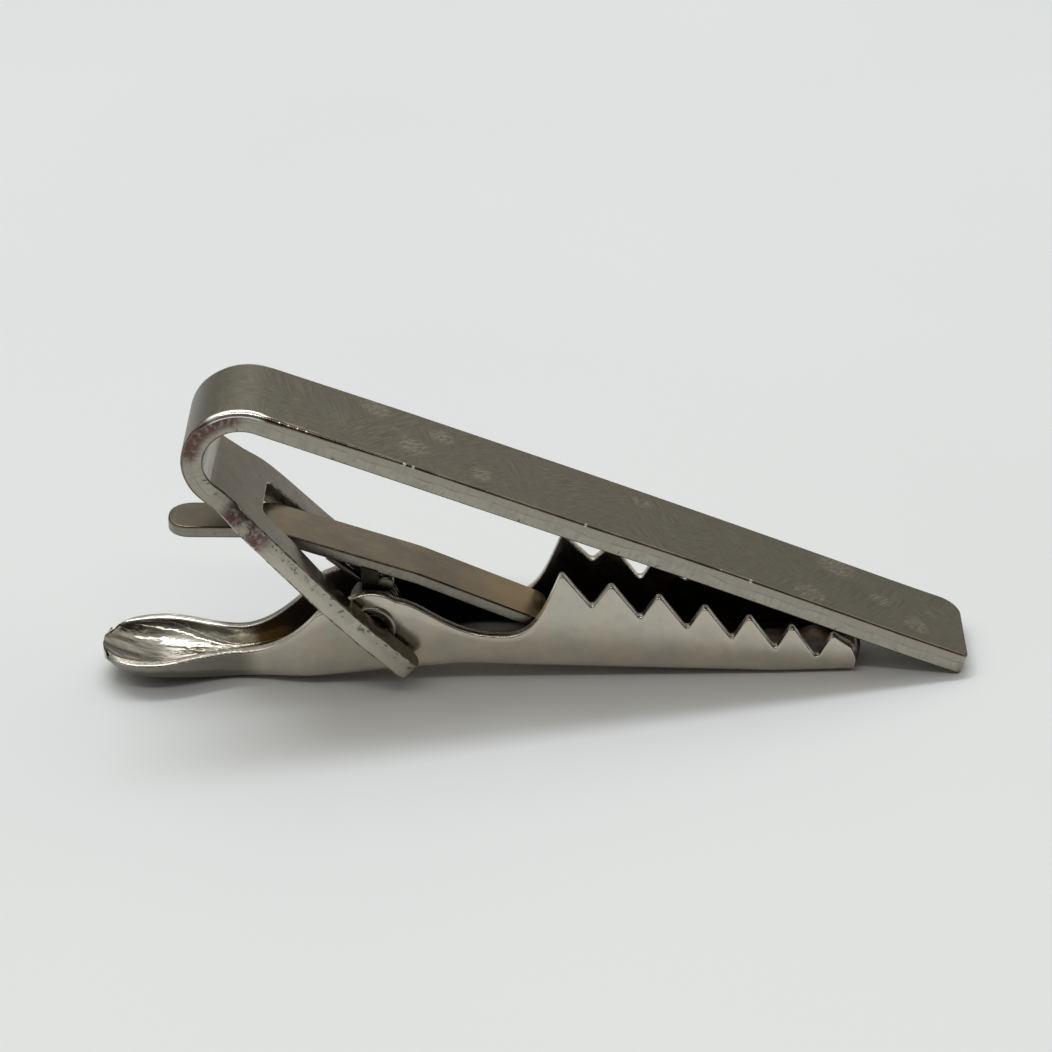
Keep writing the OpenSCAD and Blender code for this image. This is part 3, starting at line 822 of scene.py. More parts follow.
def rolled_rim(name, base_colour, nick_glints=(), rim_highlight=None):
    """Smooth rim rolled over by the shears, painted dark as a painted shade, with painted highlights:
    faint random glints, glints at a few nicks, and a stretch of painted highlight"""
    n = Nodes(name)
    place = n.place()
    clouds = n.noise(place, 0.5, 3.0, 0.6)
    rim_shade_colour = tuple(c * k for c, k in zip(base_colour, (1.0, 0.88, 0.86)))
    # The rim's colour is painted dark, a painted shade for the dark that it mirrors
    base = n.blend(n.between(clouds, 0.35, 0.65), shade(rim_shade_colour, 0.3), shade(rim_shade_colour, 0.62))
    # Painted highlights: a few faint random glints, and a glint at each nick
    bright = n.between(n.noise(place, 3.2, 1.0, 0.5), 0.74, 0.8, 0.0, 0.6)
    for spot in nick_glints:
        bright = n.math("MAXIMUM", bright, near(n, place, spot, 0.065))
    x, _, z = n.split(place)
    torn = n.times(n.between(x, 48.0, 52.0), n.between(n.noise(place, 2.4, 3.0, 0.6), 0.46, 0.52))
    base = n.blend(n.times(torn, 0.85), base, shade(base_colour, 1.2))
    # A painted highlight along a stretch of the rim's upper part
    if rim_highlight is not None:
        start, end = rim_highlight
        glint = n.stretch(x, start - 0.4, start + 0.2, end - 0.4, end + 0.2)
        bright = n.math("MAXIMUM", bright, n.times(glint, n.between(z, 0.5, 0.8)))
    # Every painted highlight is near white
    base = n.blend(bright, base, (0.95, 0.93, 0.88))
    rough = n.between(clouds, 0.3, 0.7, 0.12, 0.2)
    return n.metal(base, rough)


def sheet_metal(name, base_colour, rough_low, rough_high, changes=(), sides=False):
    """Polished plate over pressed sheet: soft waves, clouded shine and fine scratches. Each change has two
    places along the piece, and the colour and the factor on the roughness that it has past them. The jaw
    also has its sides' own colours: painted shade inside, brown patches, and painted highlights and painted
    shade on its rims and neck."""
    n = Nodes(name)
    place = n.place()
    x, y, z = n.split(place)
    clouds = n.noise(place, 0.5, 4.0, 0.6)
    fine = n.noise(n.scaled(place, (1.0, 3.0, 3.0)), 6.0, 3.0, 0.6)
    scratch = n.noise(n.scaled(place, (0.5, 8.0, 8.0), turn=(0, 0, 0.2)), 3.0, 2.0, 0.6)
    warm = tuple(c * k for c, k in zip(base_colour, (1.07, 1.0, 0.91)))
    base = n.blend(n.between(clouds, 0.34, 0.7), shade(base_colour, 0.92), warm)
    mottle = n.noise(n.scaled(place, shift=(5, 2, 7)), 1.3, 4.0, 0.7)
    base = n.blend(n.between(mottle, 0.4, 0.66, 0.0, 0.4), base, shade(base_colour, 0.78))
    base = n.blend(n.between(scratch, 0.66, 0.74, 0.0, 0.25), base, shade(base_colour, 1.3))
    rough = n.between(n.math("ADD", clouds, n.times(fine, 0.4)), 0.4, 0.95, rough_low, rough_high)
    if sides:
        # The inside is painted dark, a painted shade, and made rougher, with brown patches between the
        # teeth; the painted shade is lighter and browner at the neck
        inside, rim, _ = n.side()
        stained = n.times(n.between(mottle, 0.45, 0.6), n.between(x, 10.0, 11.5))
        shade_and_stain = n.blend(stained, shade(base_colour, 0.1), (0.13, 0.085, 0.05))
        shade_and_stain = n.blend(n.between(x, -1.0, -4.0), shade_and_stain, (0.16, 0.125, 0.1))
        base = n.blend(inside, base, shade_and_stain)
        rough = n.times(rough, n.between(inside, 0.0, 1.0, 1.0, 2.2))
    for start, end, colour, gloss in changes:
        changed = n.between(x, start, end)
        base = n.blend(changed, base, colour)
        rough = n.times(rough, n.between(changed, 0.0, 1.0, 1.0, gloss))
    if sides:
        # The rims are painted lighter in broken streaks, a painted highlight
        rim_highlight = n.times(rim, n.between(fine, 0.45, 0.6, 0.15, 0.8))
        base = n.blend(rim_highlight, base, shade(base_colour, 1.5))
        # The thumb pad's far rim gets a painted highlight and its near rim hardly any, and the neck's far
        # rim is painted darker, a painted shade
        far_rim = n.times(rim, n.between(y, -1.0, 1.0, 0.1, 1.0))
        neck = n.stretch(x, -9.8, -8.8, -5.0, -3.5)
        base = n.blend(n.times(far_rim, neck, 0.7), base, shade(base_colour, 0.3))
        rubs_and_highlight = n.times(far_rim, n.between(x, -8.2, -9.4))
        base = n.blend(rubs_and_highlight, base, (0.9, 0.88, 0.82))
        # The neck's floor gets a painted highlight, and is brown towards the lever
        height = n.math("ADD", z, n.times(mottle, 0.7))
        low = n.times(inside, n.between(height, 1.75, 1.45))
        brown = n.times(low, n.stretch(x, -7.2, -6.6, -5.4, -4.6))
        base = n.blend(brown, base, (0.5, 0.38, 0.2))
        bright = n.times(low, n.stretch(x, -12.4, -11.0, -7.0, -6.4))
        base = n.blend(bright, base, (0.88, 0.86, 0.78))
        rough = n.times(rough, n.between(n.math("MAXIMUM", brown, bright), 0.0, 1.0, 1.0, 0.6))
    swell = n.noise(place, 0.45, 2.0, 0.5)
    normal = n.bump(swell, 0.08 * MM, 0.5)
    normal = n.bump(fine, 0.003 * MM, 0.5, below=normal)
    if sides:
        # The pressed thumb pad is a little dented, which breaks up its highlights
        dents = n.noise(n.scaled(place, (0.7, 1.3, 1.0)), 1.5, 2.0, 0.5)
        dents = n.times(dents, n.between(x, -7.0, -8.5))
        normal = n.bump(dents, 0.12 * MM, 0.6, below=normal)
    return n.metal(base, rough, normal)


def table_top(stage):
    """Smooth pale table with faint specks"""
    n = Nodes("table_top")
    place = n.new("ShaderNodeTexCoord").outputs["Object"]
    clouds = n.noise(place, 14.0, 3.0, 0.5)
    base = n.blend(n.between(clouds, 0.3, 0.7), shade(stage.table, 0.985), shade(stage.table, 1.01))
    n.feed(n.shader.inputs["Base Color"], base)
    n.shader.inputs["Roughness"].default_value = 0.45
    n.shader.inputs["Specular IOR Level"].default_value = 0.25
    return n.material


# Pieces

def bar_route(bar):
    """Along the bar's outer face from its tip, round the bend and down the leg"""
    tip = BAR_FACE_MIDDLE + Vector((math.cos(BAR_SLOPE), 0, -math.sin(BAR_SLOPE))) * bar.straight / 2
    route = Route(flat(tip.x, tip.z), math.pi - BAR_SLOPE)
    route.straight(bar.straight)
    route.bend(bar.bend_radius, math.pi - bar.spread)
    return route.straight(bar.leg + bar.tine_over)


def leg_start(bar):
    """Distance along the strip from the tip to the end of the bend"""
    return bar.straight + bar.bend_radius * (math.pi - bar.spread)


def bar_lift(bar):
    """How far the strip stands proud of its route: a slight bow in the bar, a slight pinch below the
    bend"""
    start, end = bar.straight, leg_start(bar)
    bend, leg = end - start, bar.leg
    # Each pair is a share of the stretch's length, and of the bow or of the pinch there
    bowed_bar = [(0, 0), (0.09, 0.06), (0.23, 0.55), (0.38, 0.92), (0.52, 1), (0.81, 1), (1, 0.85)]
    bowed_bend = [(0.33, 0.85), (0.65, 0.6)]
    pinched_leg = [(0, 0.8), (0.14, 1), (0.3, 0.87), (0.48, 0.5), (0.66, 0.15), (0.82, 0)]
    proud = [flat(start * along, bar.bow * rise) for along, rise in bowed_bar]
    proud += [flat(start + bend * along, bar.bow * rise) for along, rise in bowed_bend]
    proud += [flat(end - bend * 0.16, -bar.pinch * 0.2)]
    proud += [flat(end + leg * along, -bar.pinch * fall) for along, fall in pinched_leg]
    proud = flowing(proud + [flat(end + leg + bar.tine_over, 0)], 24)

    def lift(u, y):
        turned = smooth((u - start * 0.37) / (start * 0.2))
        turned *= smooth((start + bend * 0.6 - u) / (bend * 0.6))
        return height_at(proud, u) + bar.twist * turned * 2 * y / bar.width

    return lift


def bar_outline(bar):
    """The flat blank of the strip, from the tip's square corner round to its rounded corner"""
    half = bar.width / 2
    bend_start, bend_end = bar.straight, leg_start(bar)
    end = bend_end + bar.leg + bar.tine_over
    shoulder, span, inner = bar.shoulder_width / 2, bar.tine_span / 2, bar.tine_inner
    window = bar.window_width / 2
    start = bend_end + bar.window_start
    pivot = bend_end + bar.leg
    swell = flowing([
        flat(bend_end, half),
        flat(mix(bend_end, start, 0.35), mix(half, shoulder, 0.22)),
        flat(start, shoulder),
        flat(mix(start, pivot, 0.5), mix(shoulder, span, 0.5)),
        flat(pivot, span),
    ], 4)
    tine = filleted([
        flat(pivot, span), flat(end, span * 0.98), flat(end, inner), flat(pivot, inner),
    ], END_CORNER, 5)
    opening = flowing([
        flat(pivot, inner),
        flat(pivot - bar.leg * 0.12, inner),
        flat(mix(start, pivot, 0.64), window + bar.window_width * 0.225),
        flat(mix(start, pivot, 0.25), window + bar.window_width * 0.04),
        flat(start + bar.window_width * 0.2, window),
    ], 3)
    arch = filleted([opening[-1], flat(start, window * 0.92), flat(start, 0)], ARCH_CORNER, 5)
    side = swell + tine[1:] + opening[1:] + arch[1:]
    near = [flat(p.x, -p.y) for p in side]
    far = list(reversed(side))
    square = filleted([
        flat(bar.tip_slant / 2, 0), flat(0, -half), flat(half, -half)], bar.tip_square, 4)
    rounded = filleted([
        flat(half * 2, half), flat(bar.tip_slant, half), flat(bar.tip_slant / 2, 0)], bar.tip_round, 8)
    middle_near = [flat(bar.straight * k, -half) for k in steps(5)[1:]]
    middle_near += [flat(mix(bend_start, bend_end, k), -half) for k in steps(16)[1:-1]]
    middle_far = [flat(p.x, -p.y) for p in reversed(middle_near)]
    return square[1:] + middle_near + near + far[1:] + middle_far + rounded[:-1]


def pip(bar, pivot):
    """A round pip on the far tine. The real pip is dished from outside; that dish is not drawn here."""
    root, tip = bar.tine_inner, bar.tine_inner - pivot.pip_length
    rim = pivot.pip_radius * 0.25
    profile = [flat(0, root + bar.thickness * 0.3), flat(pivot.pip_radius, root + bar.thickness * 0.3),
               flat(pivot.pip_radius, tip + rim), flat(pivot.pip_radius - rim, tip), flat(0, tip)]
    bm = fresh_mesh()
    for face in lathe(bm, profile, 24):
        face.material_index = 1
    weld(bm)
    return bm


def jaw_rim(jaw, bar, depths):
    """The nose's middle, and the top edge of one of the jaw's walls from the nose to the neck, with a
    factor for each valley's depth"""
    slope, under = BAR_SLOPE, bar.thickness / math.cos(BAR_SLOPE)
    face = BAR_FACE_MIDDLE

    def bar_under(x):
        return face.z + (face.x - x) * math.tan(slope) - under

    def tooth(i):
        return jaw.tooth_start + i * jaw.tooth_pitch - jaw.tooth_shrink * i * (i - 1) / 2

    last_x = tooth(jaw.tooth_count - 1)
    first_z = bar_under(jaw.tooth_start) - jaw.bite_gap / math.cos(slope)
    last_z = bar_under(last_x) - jaw.nose_gap / math.cos(slope)

    def tip_line(x):
        return mix(first_z, last_z, (x - jaw.tooth_start) / (last_x - jaw.tooth_start))

    nose = flat(last_x + jaw.nose_radius * 0.62, last_z - 1.6 * jaw.nose_radius)
    # The nose is drawn square here and rounded by cuts afterwards
    low_end = nose + flat(jaw.nose_radius, jaw.nose_radius * 0.2)
    high_end = nose + polar(jaw.nose_radius * 1.05, math.radians(50))
    teeth = []
    for i in reversed(range(jaw.tooth_count)):
        x = tooth(i)
        teeth.append(flat(x, tip_line(x)))
        if i > 0:
            valley = mix(tooth(i - 1), x, 0.6)
            teeth.append(flat(valley, tip_line(valley) - jaw.tooth_depth * depths[i - 1]))
    notch = flat(mix(jaw.kink, jaw.tooth_start, 0.42), -jaw.notch)
    front = list(reversed(bezier(
        notch, flat(mix(notch.x, jaw.tooth_start, 0.53), notch.y),
        flat(mix(notch.x, jaw.tooth_start, 0.69), first_z * 0.28), teeth[-1], 12)))
    ear = arc(flat(0, 0), jaw.ear_radius, math.radians(50), math.radians(136), 14)
    back = list(reversed(bezier(
        ear[0], flat(jaw.kink * 0.62, jaw.ear_radius * 0.62),
        flat(jaw.kink * 0.84, notch.y * 0.98), notch, 12)))
    toothed = filleted([high_end] + teeth[:-1] + [front[0], front[1]], jaw.tooth_round, 4)
    return nose, [low_end] + toothed[:-1] + front[1:-1] + back[:-1] + ear


# Depths of the far wall's valleys from the first, as shares of the near wall's
FAR_VALLEYS = [0.74, 1.04, 0.68, 0.75]


class JawShape:
    """Where the jaw's sheet runs at each place along it"""

    def __init__(self, jaw, bar):
        self.jaw = jaw
        # The far wall's valleys were cut a little less evenly than the near wall's
        self.nose, near_rim = jaw_rim(jaw, bar, [1.0] * jaw.tooth_count)
        _, far_rim = jaw_rim(jaw, bar, FAR_VALLEYS + [1.0] * jaw.tooth_count)
        self.rim = [Vector((a.x, a.y, b.y)) for a, b in zip(near_rim, far_rim)]
        self.kink_z = -jaw.belly + jaw.kink * math.tan(jaw.handle_slope)
        self.table = -PIVOT.z
        join_z = self.kink_z - (jaw.kink + jaw.neck_start) * math.tan(jaw.handle_slope)
        self.join = flat(-jaw.neck_start, join_z)
        self.join_rim = jaw.ear_radius * 0.4
        self.heel = -mix(jaw.waist, jaw.pad_end, 0.08)
        self.widest = -mix(jaw.waist, jaw.pad_end, 0.6)

    def underline(self, x):
        """The underside's two straight slopes, eased at the kink"""
        jaw, ease = self.jaw, self.jaw.ear_radius
        away = x - jaw.kink
        k = smooth((away + ease) / (2 * ease))
        line = self.kink_z + mix(away * math.tan(jaw.handle_slope), -away * math.tan(jaw.front_slope), k)
        return max(line, self.table + TABLE_GAP)

    def floor(self, x):
        if x >= self.join.x:
            return self.underline(x)
        settle = self.table - self.underline(self.heel)
        if x > self.heel:
            return self.underline(x) + settle * smooth((self.join.x - x) / (self.join.x - self.heel))
        rise = (self.heel - x) / (self.heel + self.jaw.pad_end)
        return self.table + (self.jaw.pad_rim - self.jaw.sheet) * rise ** 3.6

    def half_width(self, x):
        jaw = self.jaw
        if x > self.join.x:
            return jaw.width / 2
        if x > -jaw.waist:
            widening = smooth((x + jaw.waist) / (jaw.waist - jaw.neck_start))
            return mix(jaw.waist_width, jaw.width, widening) / 2
        past = max(0.0, (self.widest - x) / (self.widest + jaw.pad_end))
        full = jaw.pad_width * math.sqrt(1 - (0.74 * past) ** 2)
        return mix(jaw.waist_width, full, smooth((-jaw.waist - x) / (-jaw.waist - self.widest))) / 2

    def pad(self, x):
        """How much of a dish the section is, from a channel at the waist to the full dish"""
        return smooth((-self.jaw.waist * 0.9 - x) / (-self.jaw.waist * 0.9 - self.widest))

    def handle_rim(self, x):
        pad_rim = self.table + self.jaw.pad_rim
        if x < -self.jaw.waist:
            return pad_rim
        return mix(pad_rim, self.join_rim, ((x + self.jaw.waist) / (self.jaw.waist + self.join.x)) ** 2)

    def stations(self):
        """Places along the jaw from nose to pad, each with the heights of the near and the far rim"""
        places = list(self.rim)
        ear_end = places[-1]
        shoulder = Vector((self.join.x, self.join_rim, self.join_rim))
        places += [mix(ear_end, shoulder, k) for k in steps(4)[1:]]
        for k in steps(54)[1:]:
            x = mix(self.join.x, -self.jaw.pad_end, k)
            places.append(Vector((x, self.handle_rim(x), self.handle_rim(x))))
        finer = [places[0]]
        for p in places[1:]:
            gaps = max(1, math.ceil((finer[-1].x - p.x) / LONGEST_STEP))
            finer += [mix(finer[-1], p, k) for k in steps(gaps)[1:]]
        return finer


# Steps in which each rim of a cross-section is rounded
RIM_STEPS = 4


def half_section(half, height, fold_y, fold_z, rim):
    """From the middle of the floor up to the rim, cut off at that height. The rim's sign says to which
    side its corner is rounded."""
    height -= abs(rim)
    turn = math.pi / 2 if height >= fold_z else math.acos(max(-1.0, 1 - height / fold_z))
    floor = [flat((half - fold_y) * k, 0) for k in steps(6)]
    fold = [flat(half - fold_y + fold_y * math.sin(turn * k), fold_z * (1 - math.cos(turn * k)))
            for k in steps(14)[1:]]
    wall = [mix(fold[-1], flat(fold[-1].x, max(height, fold[-1].y)), k) for k in steps(5)[1:]]
    edge = [wall[-1] + flat(rim * (math.cos(math.pi / 2 * k) - 1), abs(rim) * math.sin(math.pi / 2 * k))
            for k in steps(RIM_STEPS)[1:]]
    return floor + fold + wall + edge


def note_hole(bm, shape, radius):
    """Notes the places and sides of the vertices round the pivot's hole"""
    jaw = shape.jaw
    flat_layer = bm.verts.layers.float_vector["flat"]
    side_layer = bm.verts.layers.float_vector["side"]
    for v in bm.verts:
        if flat(v.co.x, v.co.z).length < radius * 1.01:
            v[flat_layer] = Vector((v.co.x, v.co.y, v.co.z - shape.floor(v.co.x))) / MM
            v[side_layer] = (float(abs(v.co.y) < jaw.width / 2 - jaw.sheet * 0.9), 0, 0)


def jaw_mesh(jaw, bar, hole):
    """The pressed sheet as a skin over cross-sections from the nose to the thumb pad"""
    shape = JawShape(jaw, bar)
    sheet = jaw.sheet
    rings, notes = [], []
    for place in shape.stations():
        x = place.x
        floor, half, dish = shape.floor(x), shape.half_width(x), shape.pad(x)
        outer_path, inner_path = [], []
        for side, rim in ((-1, place.y), (1, place.z)):
            height = rim - floor
            fold_y = mix(jaw.fold_radius, half * 0.82, dish)
            fold_z = mix(jaw.fold_radius, height * 0.92, dish)
            outer = half_section(half, height, fold_y, fold_z, jaw.rim)
            inner = half_section(half - sheet, height - sheet, fold_y - sheet, fold_z - sheet, -jaw.rim)
            outer = [flat(side * p.x, p.y) for p in outer]
            inner = [flat(side * p.x, p.y + sheet) for p in inner]
            outer_path = outer_path + outer if side > 0 else list(reversed(outer[1:]))
            inner_path = inner_path + inner if side > 0 else list(reversed(inner[1:]))
        end = max(0.0, (shape.widest - x) / (shape.widest + jaw.pad_end))
        ring, note = [], []
        for p in outer_path + list(reversed(inner_path)):
            across = p.x / half
            # The pad's end is an arc, and the flutes fan out to it and scallop its edge
            bow = end ** 2 * jaw.pad_width * 0.2 * (1 - math.sqrt(1 - (0.94 * across) ** 2))
            wave = math.cos(math.pi * jaw.flutes * across * mix(1.0, 1.05, end))
            fade = smooth((1 - abs(across)) / 0.16 + 0.25 * end)
            drop = mix(0.2, 1.0, smooth(end * 1.2)) * dish * fade * jaw.flute_depth * (wave - 1) / 2
            ring.append(Vector((x + bow, p.x, floor + p.y - drop)))
            note.append((x, p.x, p.y))
        rings.append(ring)
        notes.append(note)
    # Each section's outer path has its rounded rims at both ends, and so has its inner path
    count = len(outer_path)
    near_rim = [min(j, count - 1 - j) < RIM_STEPS for j in range(count)]
    sides = [(0, on_rim, 0) for on_rim in near_rim] + [(1, on_rim, 0) for on_rim in near_rim]
    bm = loft(rings, notes, sides)
    for degrees in range(44, -80, -9):
        cut_corner(bm, shape.nose, jaw.nose_radius, math.radians(degrees))
    # Seen from above the nose is a shallow arc
    start, end = shape.nose.x - jaw.nose_radius * 0.62, shape.nose.x + jaw.nose_radius
    for v in bm.verts:
        along = max(0.0, (v.co.x - start) / (end - start))
        v.co.x -= jaw.nose_radius * 0.4 * along * (2 * v.co.y / jaw.width) ** 2
    bm = bored(bm, hole, jaw.width)
    note_hole(bm, shape, hole)
    return bm


def lever_corners(lever):
    """The corners of the lever's top line from the thumb tab to the end in the jaw"""
    return [
        flat(-lever.tab_end, lever.tab_top + TAB_LIFT), flat(-lever.tab_end / 2, lever.tab_top),
        flat(lever.knee, lever.knee_top), flat(lever.reach, -lever.reach_top)]


def lever_under(lever, x):
    """Height of the underside of the lever's sloping middle"""
    _, a, b, _ = lever_corners(lever)
    return mix(a.y, b.y, (x - a.x) / (b.x - a.x)) - lever.thickness * (b - a).length / (b.x - a.x)


def lever_outline(lever, total):
    """The flat blank of the lever, from the round thumb tab to the end in the jaw"""
    half, tab = lever.width / 2, lever.tab_width / 2
    waist = lever.tab_end * 0.45
    side = [flat(waist, -tab)] + bezier(
        flat(waist, -tab), flat(waist + half * 0.3, -tab), flat(waist + half * 0.3, -half),
        flat(waist + half * 0.7, -half), 5)[1:]
    end = [flat(total * 0.6, -half), flat(total, -half * 0.97), flat(total, 0)]
    side += filleted(end, END_CORNER, 6)[:-1]
    turn = tab * 0.88
    lower = arc(flat(turn, turn - tab), turn, math.pi, 1.5 * math.pi, 10) + side
    upper = [flat(p.x, -p.y) for p in reversed(lower)]
    return lower + upper


def lever_ear(lever, low):
    """The far one of the ears that hang from the lever and turn on the tube"""
    half, sunk = lever.ear_width / 2, lever.thickness / 3
    boss = arc(flat(0, 0), lever.boss_radius, math.radians(-244), math.radians(64), 28)
    outline = boss + [flat(x, lever_under(lever, x) + sunk) for x in (half, -half)]
    hole = arc(flat(0, 0), lever.hole_radius, 0, 2 * math.pi, 28)[:-1]
    ear = plate(outline, hole, lever.ear_thickness, low, lever.rim * 0.5)
    for face in ear.faces:
        face.material_index = 4
    return ear


def lever_stub(lever, low):
    """The far one of the round stubs beside the ears"""
    stub = fresh_mesh()
    r, end = lever.stub_radius, lever.width / 2 + lever.rim * 0.3
    profile = [flat(0, low), flat(r, low), flat(r, end - r * 0.3)]
    profile += arc(flat(r * 0.7, end - r * 0.3), r * 0.3, 0, math.pi / 2, 4)[1:]
    profile.append(flat(0, end))
    x = lever.ear_width / 2 + r * 0.65
    lathe(stub, profile, 24, Vector((x, 0, lever_under(lever, x) - r * 1.25)))
    weld(stub)
    return stub


def lever_mesh(lever):
    """The bent strip with its ears and stubs"""
    route = Route.through(lever_corners(lever), lever.bend_radius)
    cuts = [route.total * k for k in steps(48)[1:-1]]
    strip = blank(lever_outline(lever, route.total), lever.thickness, lever.rim, lever.rim, cuts)
    follow(strip, route, -1)
    low = lever.width / 2 - lever.ear_thickness
    ear, stub = lever_ear(lever, low), lever_stub(lever, low)
    return gathered([strip, mirrored(ear), ear, mirrored(stub), stub])


def tube_mesh(pivot, jaw):
    """The hollow rivet, with its ends flared over the jaw's ears"""
    half = jaw.width / 2
    lip = pivot.flare_thickness
    bore, outside, flare = pivot.bore_radius, pivot.tube_radius, pivot.flare_radius
    side = [flat(outside, 0), flat(outside, half)]
    side += arc(flat(flare - lip / 2, half + lip / 2), lip / 2, -math.pi / 2, math.pi / 2, 6)
    side += bezier(flat(flare - lip, half + lip), flat(mix(bore, flare, 0.4), half + lip),
                   flat(bore, half + lip * 0.2), flat(bore, half - lip * 2.2), 8)
    side.append(flat(bore, 0))
    profile = side + [flat(p.x, -p.y) for p in reversed(side[1:-1])]
    bm = fresh_mesh()
    lathe(bm, profile, 56)
    weld(bm)
    return bm


def spring_meshes(pivot, jaw, lever):
    """The coil with its lower leg, which ride on the jaw, and the upper leg, which rides on the lever.
    The coil runs on past the upper leg's root, so that the root stays on it when the lever turns."""
    jaw_floor = -jaw.belly - pivot.low_reach * math.tan(jaw.handle_slope) + jaw.sheet
    wire, coil = pivot.wire / 2, pivot.coil_radius
    low_end = flat(-pivot.low_reach, jaw_floor + wire * 1.25)
    high_end = flat(-pivot.high_reach, lever_under(lever, -pivot.high_reach) - wire * 1.3)

    def bearing(p):
        return math.atan2(p.y, p.x)

    def tangent(p):
        return math.acos(coil / p.length)

    high = bearing(high_end) - tangent(high_end)
    low = bearing(low_end) % (2 * math.pi) + tangent(low_end) - 2 * math.pi * (pivot.coil_turns + 1)
    count = round(24 * (high - low) / (2 * math.pi))
    room = pivot.coil_room
    past_root = arc(flat(0, 0), coil, high + pivot.over_turn, high, 4)[:-1]
    points = [Vector((p.x, -room, p.y)) for p in past_root]
    for k in steps(count):
        p = polar(coil, mix(high, low, k))
        points.append(Vector((p.x, mix(-room, room, k), p.y)))
    points.append(Vector((low_end.x, room, low_end.y)))
    root = polar(coil, high)
    leg = [Vector((p.x, -room, p.y)) for p in (mix(root, high_end, k) for k in steps(6))]
    made = []
    for path in (points, leg):
        bm = fresh_mesh()
        wire_tube(bm, path, wire, 12)
        turn_outwards(bm)
        made.append(bm)
    return made


# Operators

class TIECLIP_OT_front_bar(bpy.types.Operator):
    """Bend the strip into the bar, the bend and the forked leg"""

    bl_idname = "tieclip.front_bar"
    bl_label = "Front Bar"

    def execute(self, context):
        scene = context.scene
        bar, pivot, finish = scene.tieclip_bar, scene.tieclip_pivot, scene.tieclip_finish
        bend_end = leg_start(bar)
        cuts = [bar.straight * k for k in steps(44)[2:]]
        cuts += [mix(bar.straight, bend_end, k) for k in steps(44)[1:]]
        cuts += [mix(bend_end, bend_end + bar.leg, k) for k in steps(16)[1:-1]]

        def swell(x):
            # The rim is rounder over the first third of the bend
            begun = smooth((x - bar.straight + MM) / MM)
            ended = smooth((bar.straight + 4 * MM - x) / MM)
            return 1 + 1.3 * begun * ended

        strip = blank(bar_outline(bar), bar.thickness, bar.face_rim, bar.back_rim, cuts, swell)
        follow(strip, bar_route(bar), 1, bar_lift(bar))
        far_pip = pip(bar, pivot)
        whole = gathered([strip, mirrored(far_pip), far_pip])
        # The rim gets a painted highlight over the bend's first 3 mm
        bend_glint = bar.straight / MM, bar.straight / MM + 3.0
        nick_glints = [(x, -bar.width / 2 / MM, bar.thickness / MM - 0.05) for x in NICK_GLINTS]
        brown_start, brown_end = bend_end + bar.leg * 0.6, bend_end + bar.leg
        brown = [(brown_start / MM, brown_end / MM, (0.27, 0.21, 0.145), 1.0)]
        materials = [satin_face(finish),
                     sheet_metal("polished_leg", shade(finish.polished, 0.6), 0.16, 0.26, brown),
                     cut_edge("sheared_edge", finish.edge, finish.tarnish, stained=True),
                     rolled_rim("rolled_rim", finish.edge, nick_glints, bend_glint)]
        make_piece("bar_and_leg", whole, "bar", "front_bar", materials)
        return {"FINISHED"}


class TIECLIP_OT_jaw(bpy.types.Operator):
    """Press the toothed channel, its ears, neck and fluted thumb pad"""

    bl_idname = "tieclip.jaw"
    bl_label = "Jaw"

    def execute(self, context):
        scene = context.scene
        jaw, bar, finish = scene.tieclip_jaw, scene.tieclip_bar, scene.tieclip_finish
        # The thumb pad is painted darker, a painted shade for the dark that its dish mirrors, and is
        # glossier
        pad = [(-jaw.waist * 0.8 / MM, -jaw.waist / MM, shade(finish.polished, 0.42), 0.4)]
        material = sheet_metal("polished_jaw", finish.polished, 0.13, 0.24, pad, sides=True)
        mesh = jaw_mesh(jaw, bar, scene.tieclip_pivot.tube_radius)
        make_piece("toothed_jaw", mesh, "jaw", "jaw", [material])
        return {"FINISHED"}


class TIECLIP_OT_lever(bpy.types.Operator):
    """Cut and bend the lever with its thumb tab, ears and stubs"""

    bl_idname = "tieclip.lever"
    bl_label = "Lever"

    def execute(self, context):
        scene = context.scene
        finish = scene.tieclip_finish
        tab_end = scene.tieclip_lever.tab_end / MM
        total = scene.tieclip_lever.reach / MM + tab_end
        changes = [(tab_end * 0.6, tab_end * 0.4, shade(finish.lever, 0.62), 1.0),
                   (total * 0.8, total, (0.33, 0.24, 0.14), 1.3)]
        face = sheet_metal("polished_lever", finish.lever, 0.2, 0.34, changes)
        edge = cut_edge("lever_edge", shade(finish.edge, 0.68), finish.tarnish)
        # The ears are painted very dark, a painted shade for the shade they hang in round the coil
        ear = sheet_metal("lever_ear", shade(finish.lever, 0.16), 0.3, 0.45)
        make_piece("thumb_lever", lever_mesh(scene.tieclip_lever), "lever", "lever",
                   [face, face, edge, rolled_rim("lever_rim", finish.lever), ear])
        return {"FINISHED"}


class TIECLIP_OT_pivot_tube(bpy.types.Operator):
    """Flare the pivot tube over the jaw's ears"""

    bl_idname = "tieclip.pivot_tube"
    bl_label = "Pivot Tube"

    def execute(self, context):
        scene = context.scene
        material = sheet_metal("polished_tube", shade(scene.tieclip_finish.polished, 0.52), 0.14, 0.26)
        mesh = tube_mesh(scene.tieclip_pivot, scene.tieclip_jaw)
        make_piece("flared_tube", mesh, "jaw", "pivot_tube", [material])
        return {"FINISHED"}


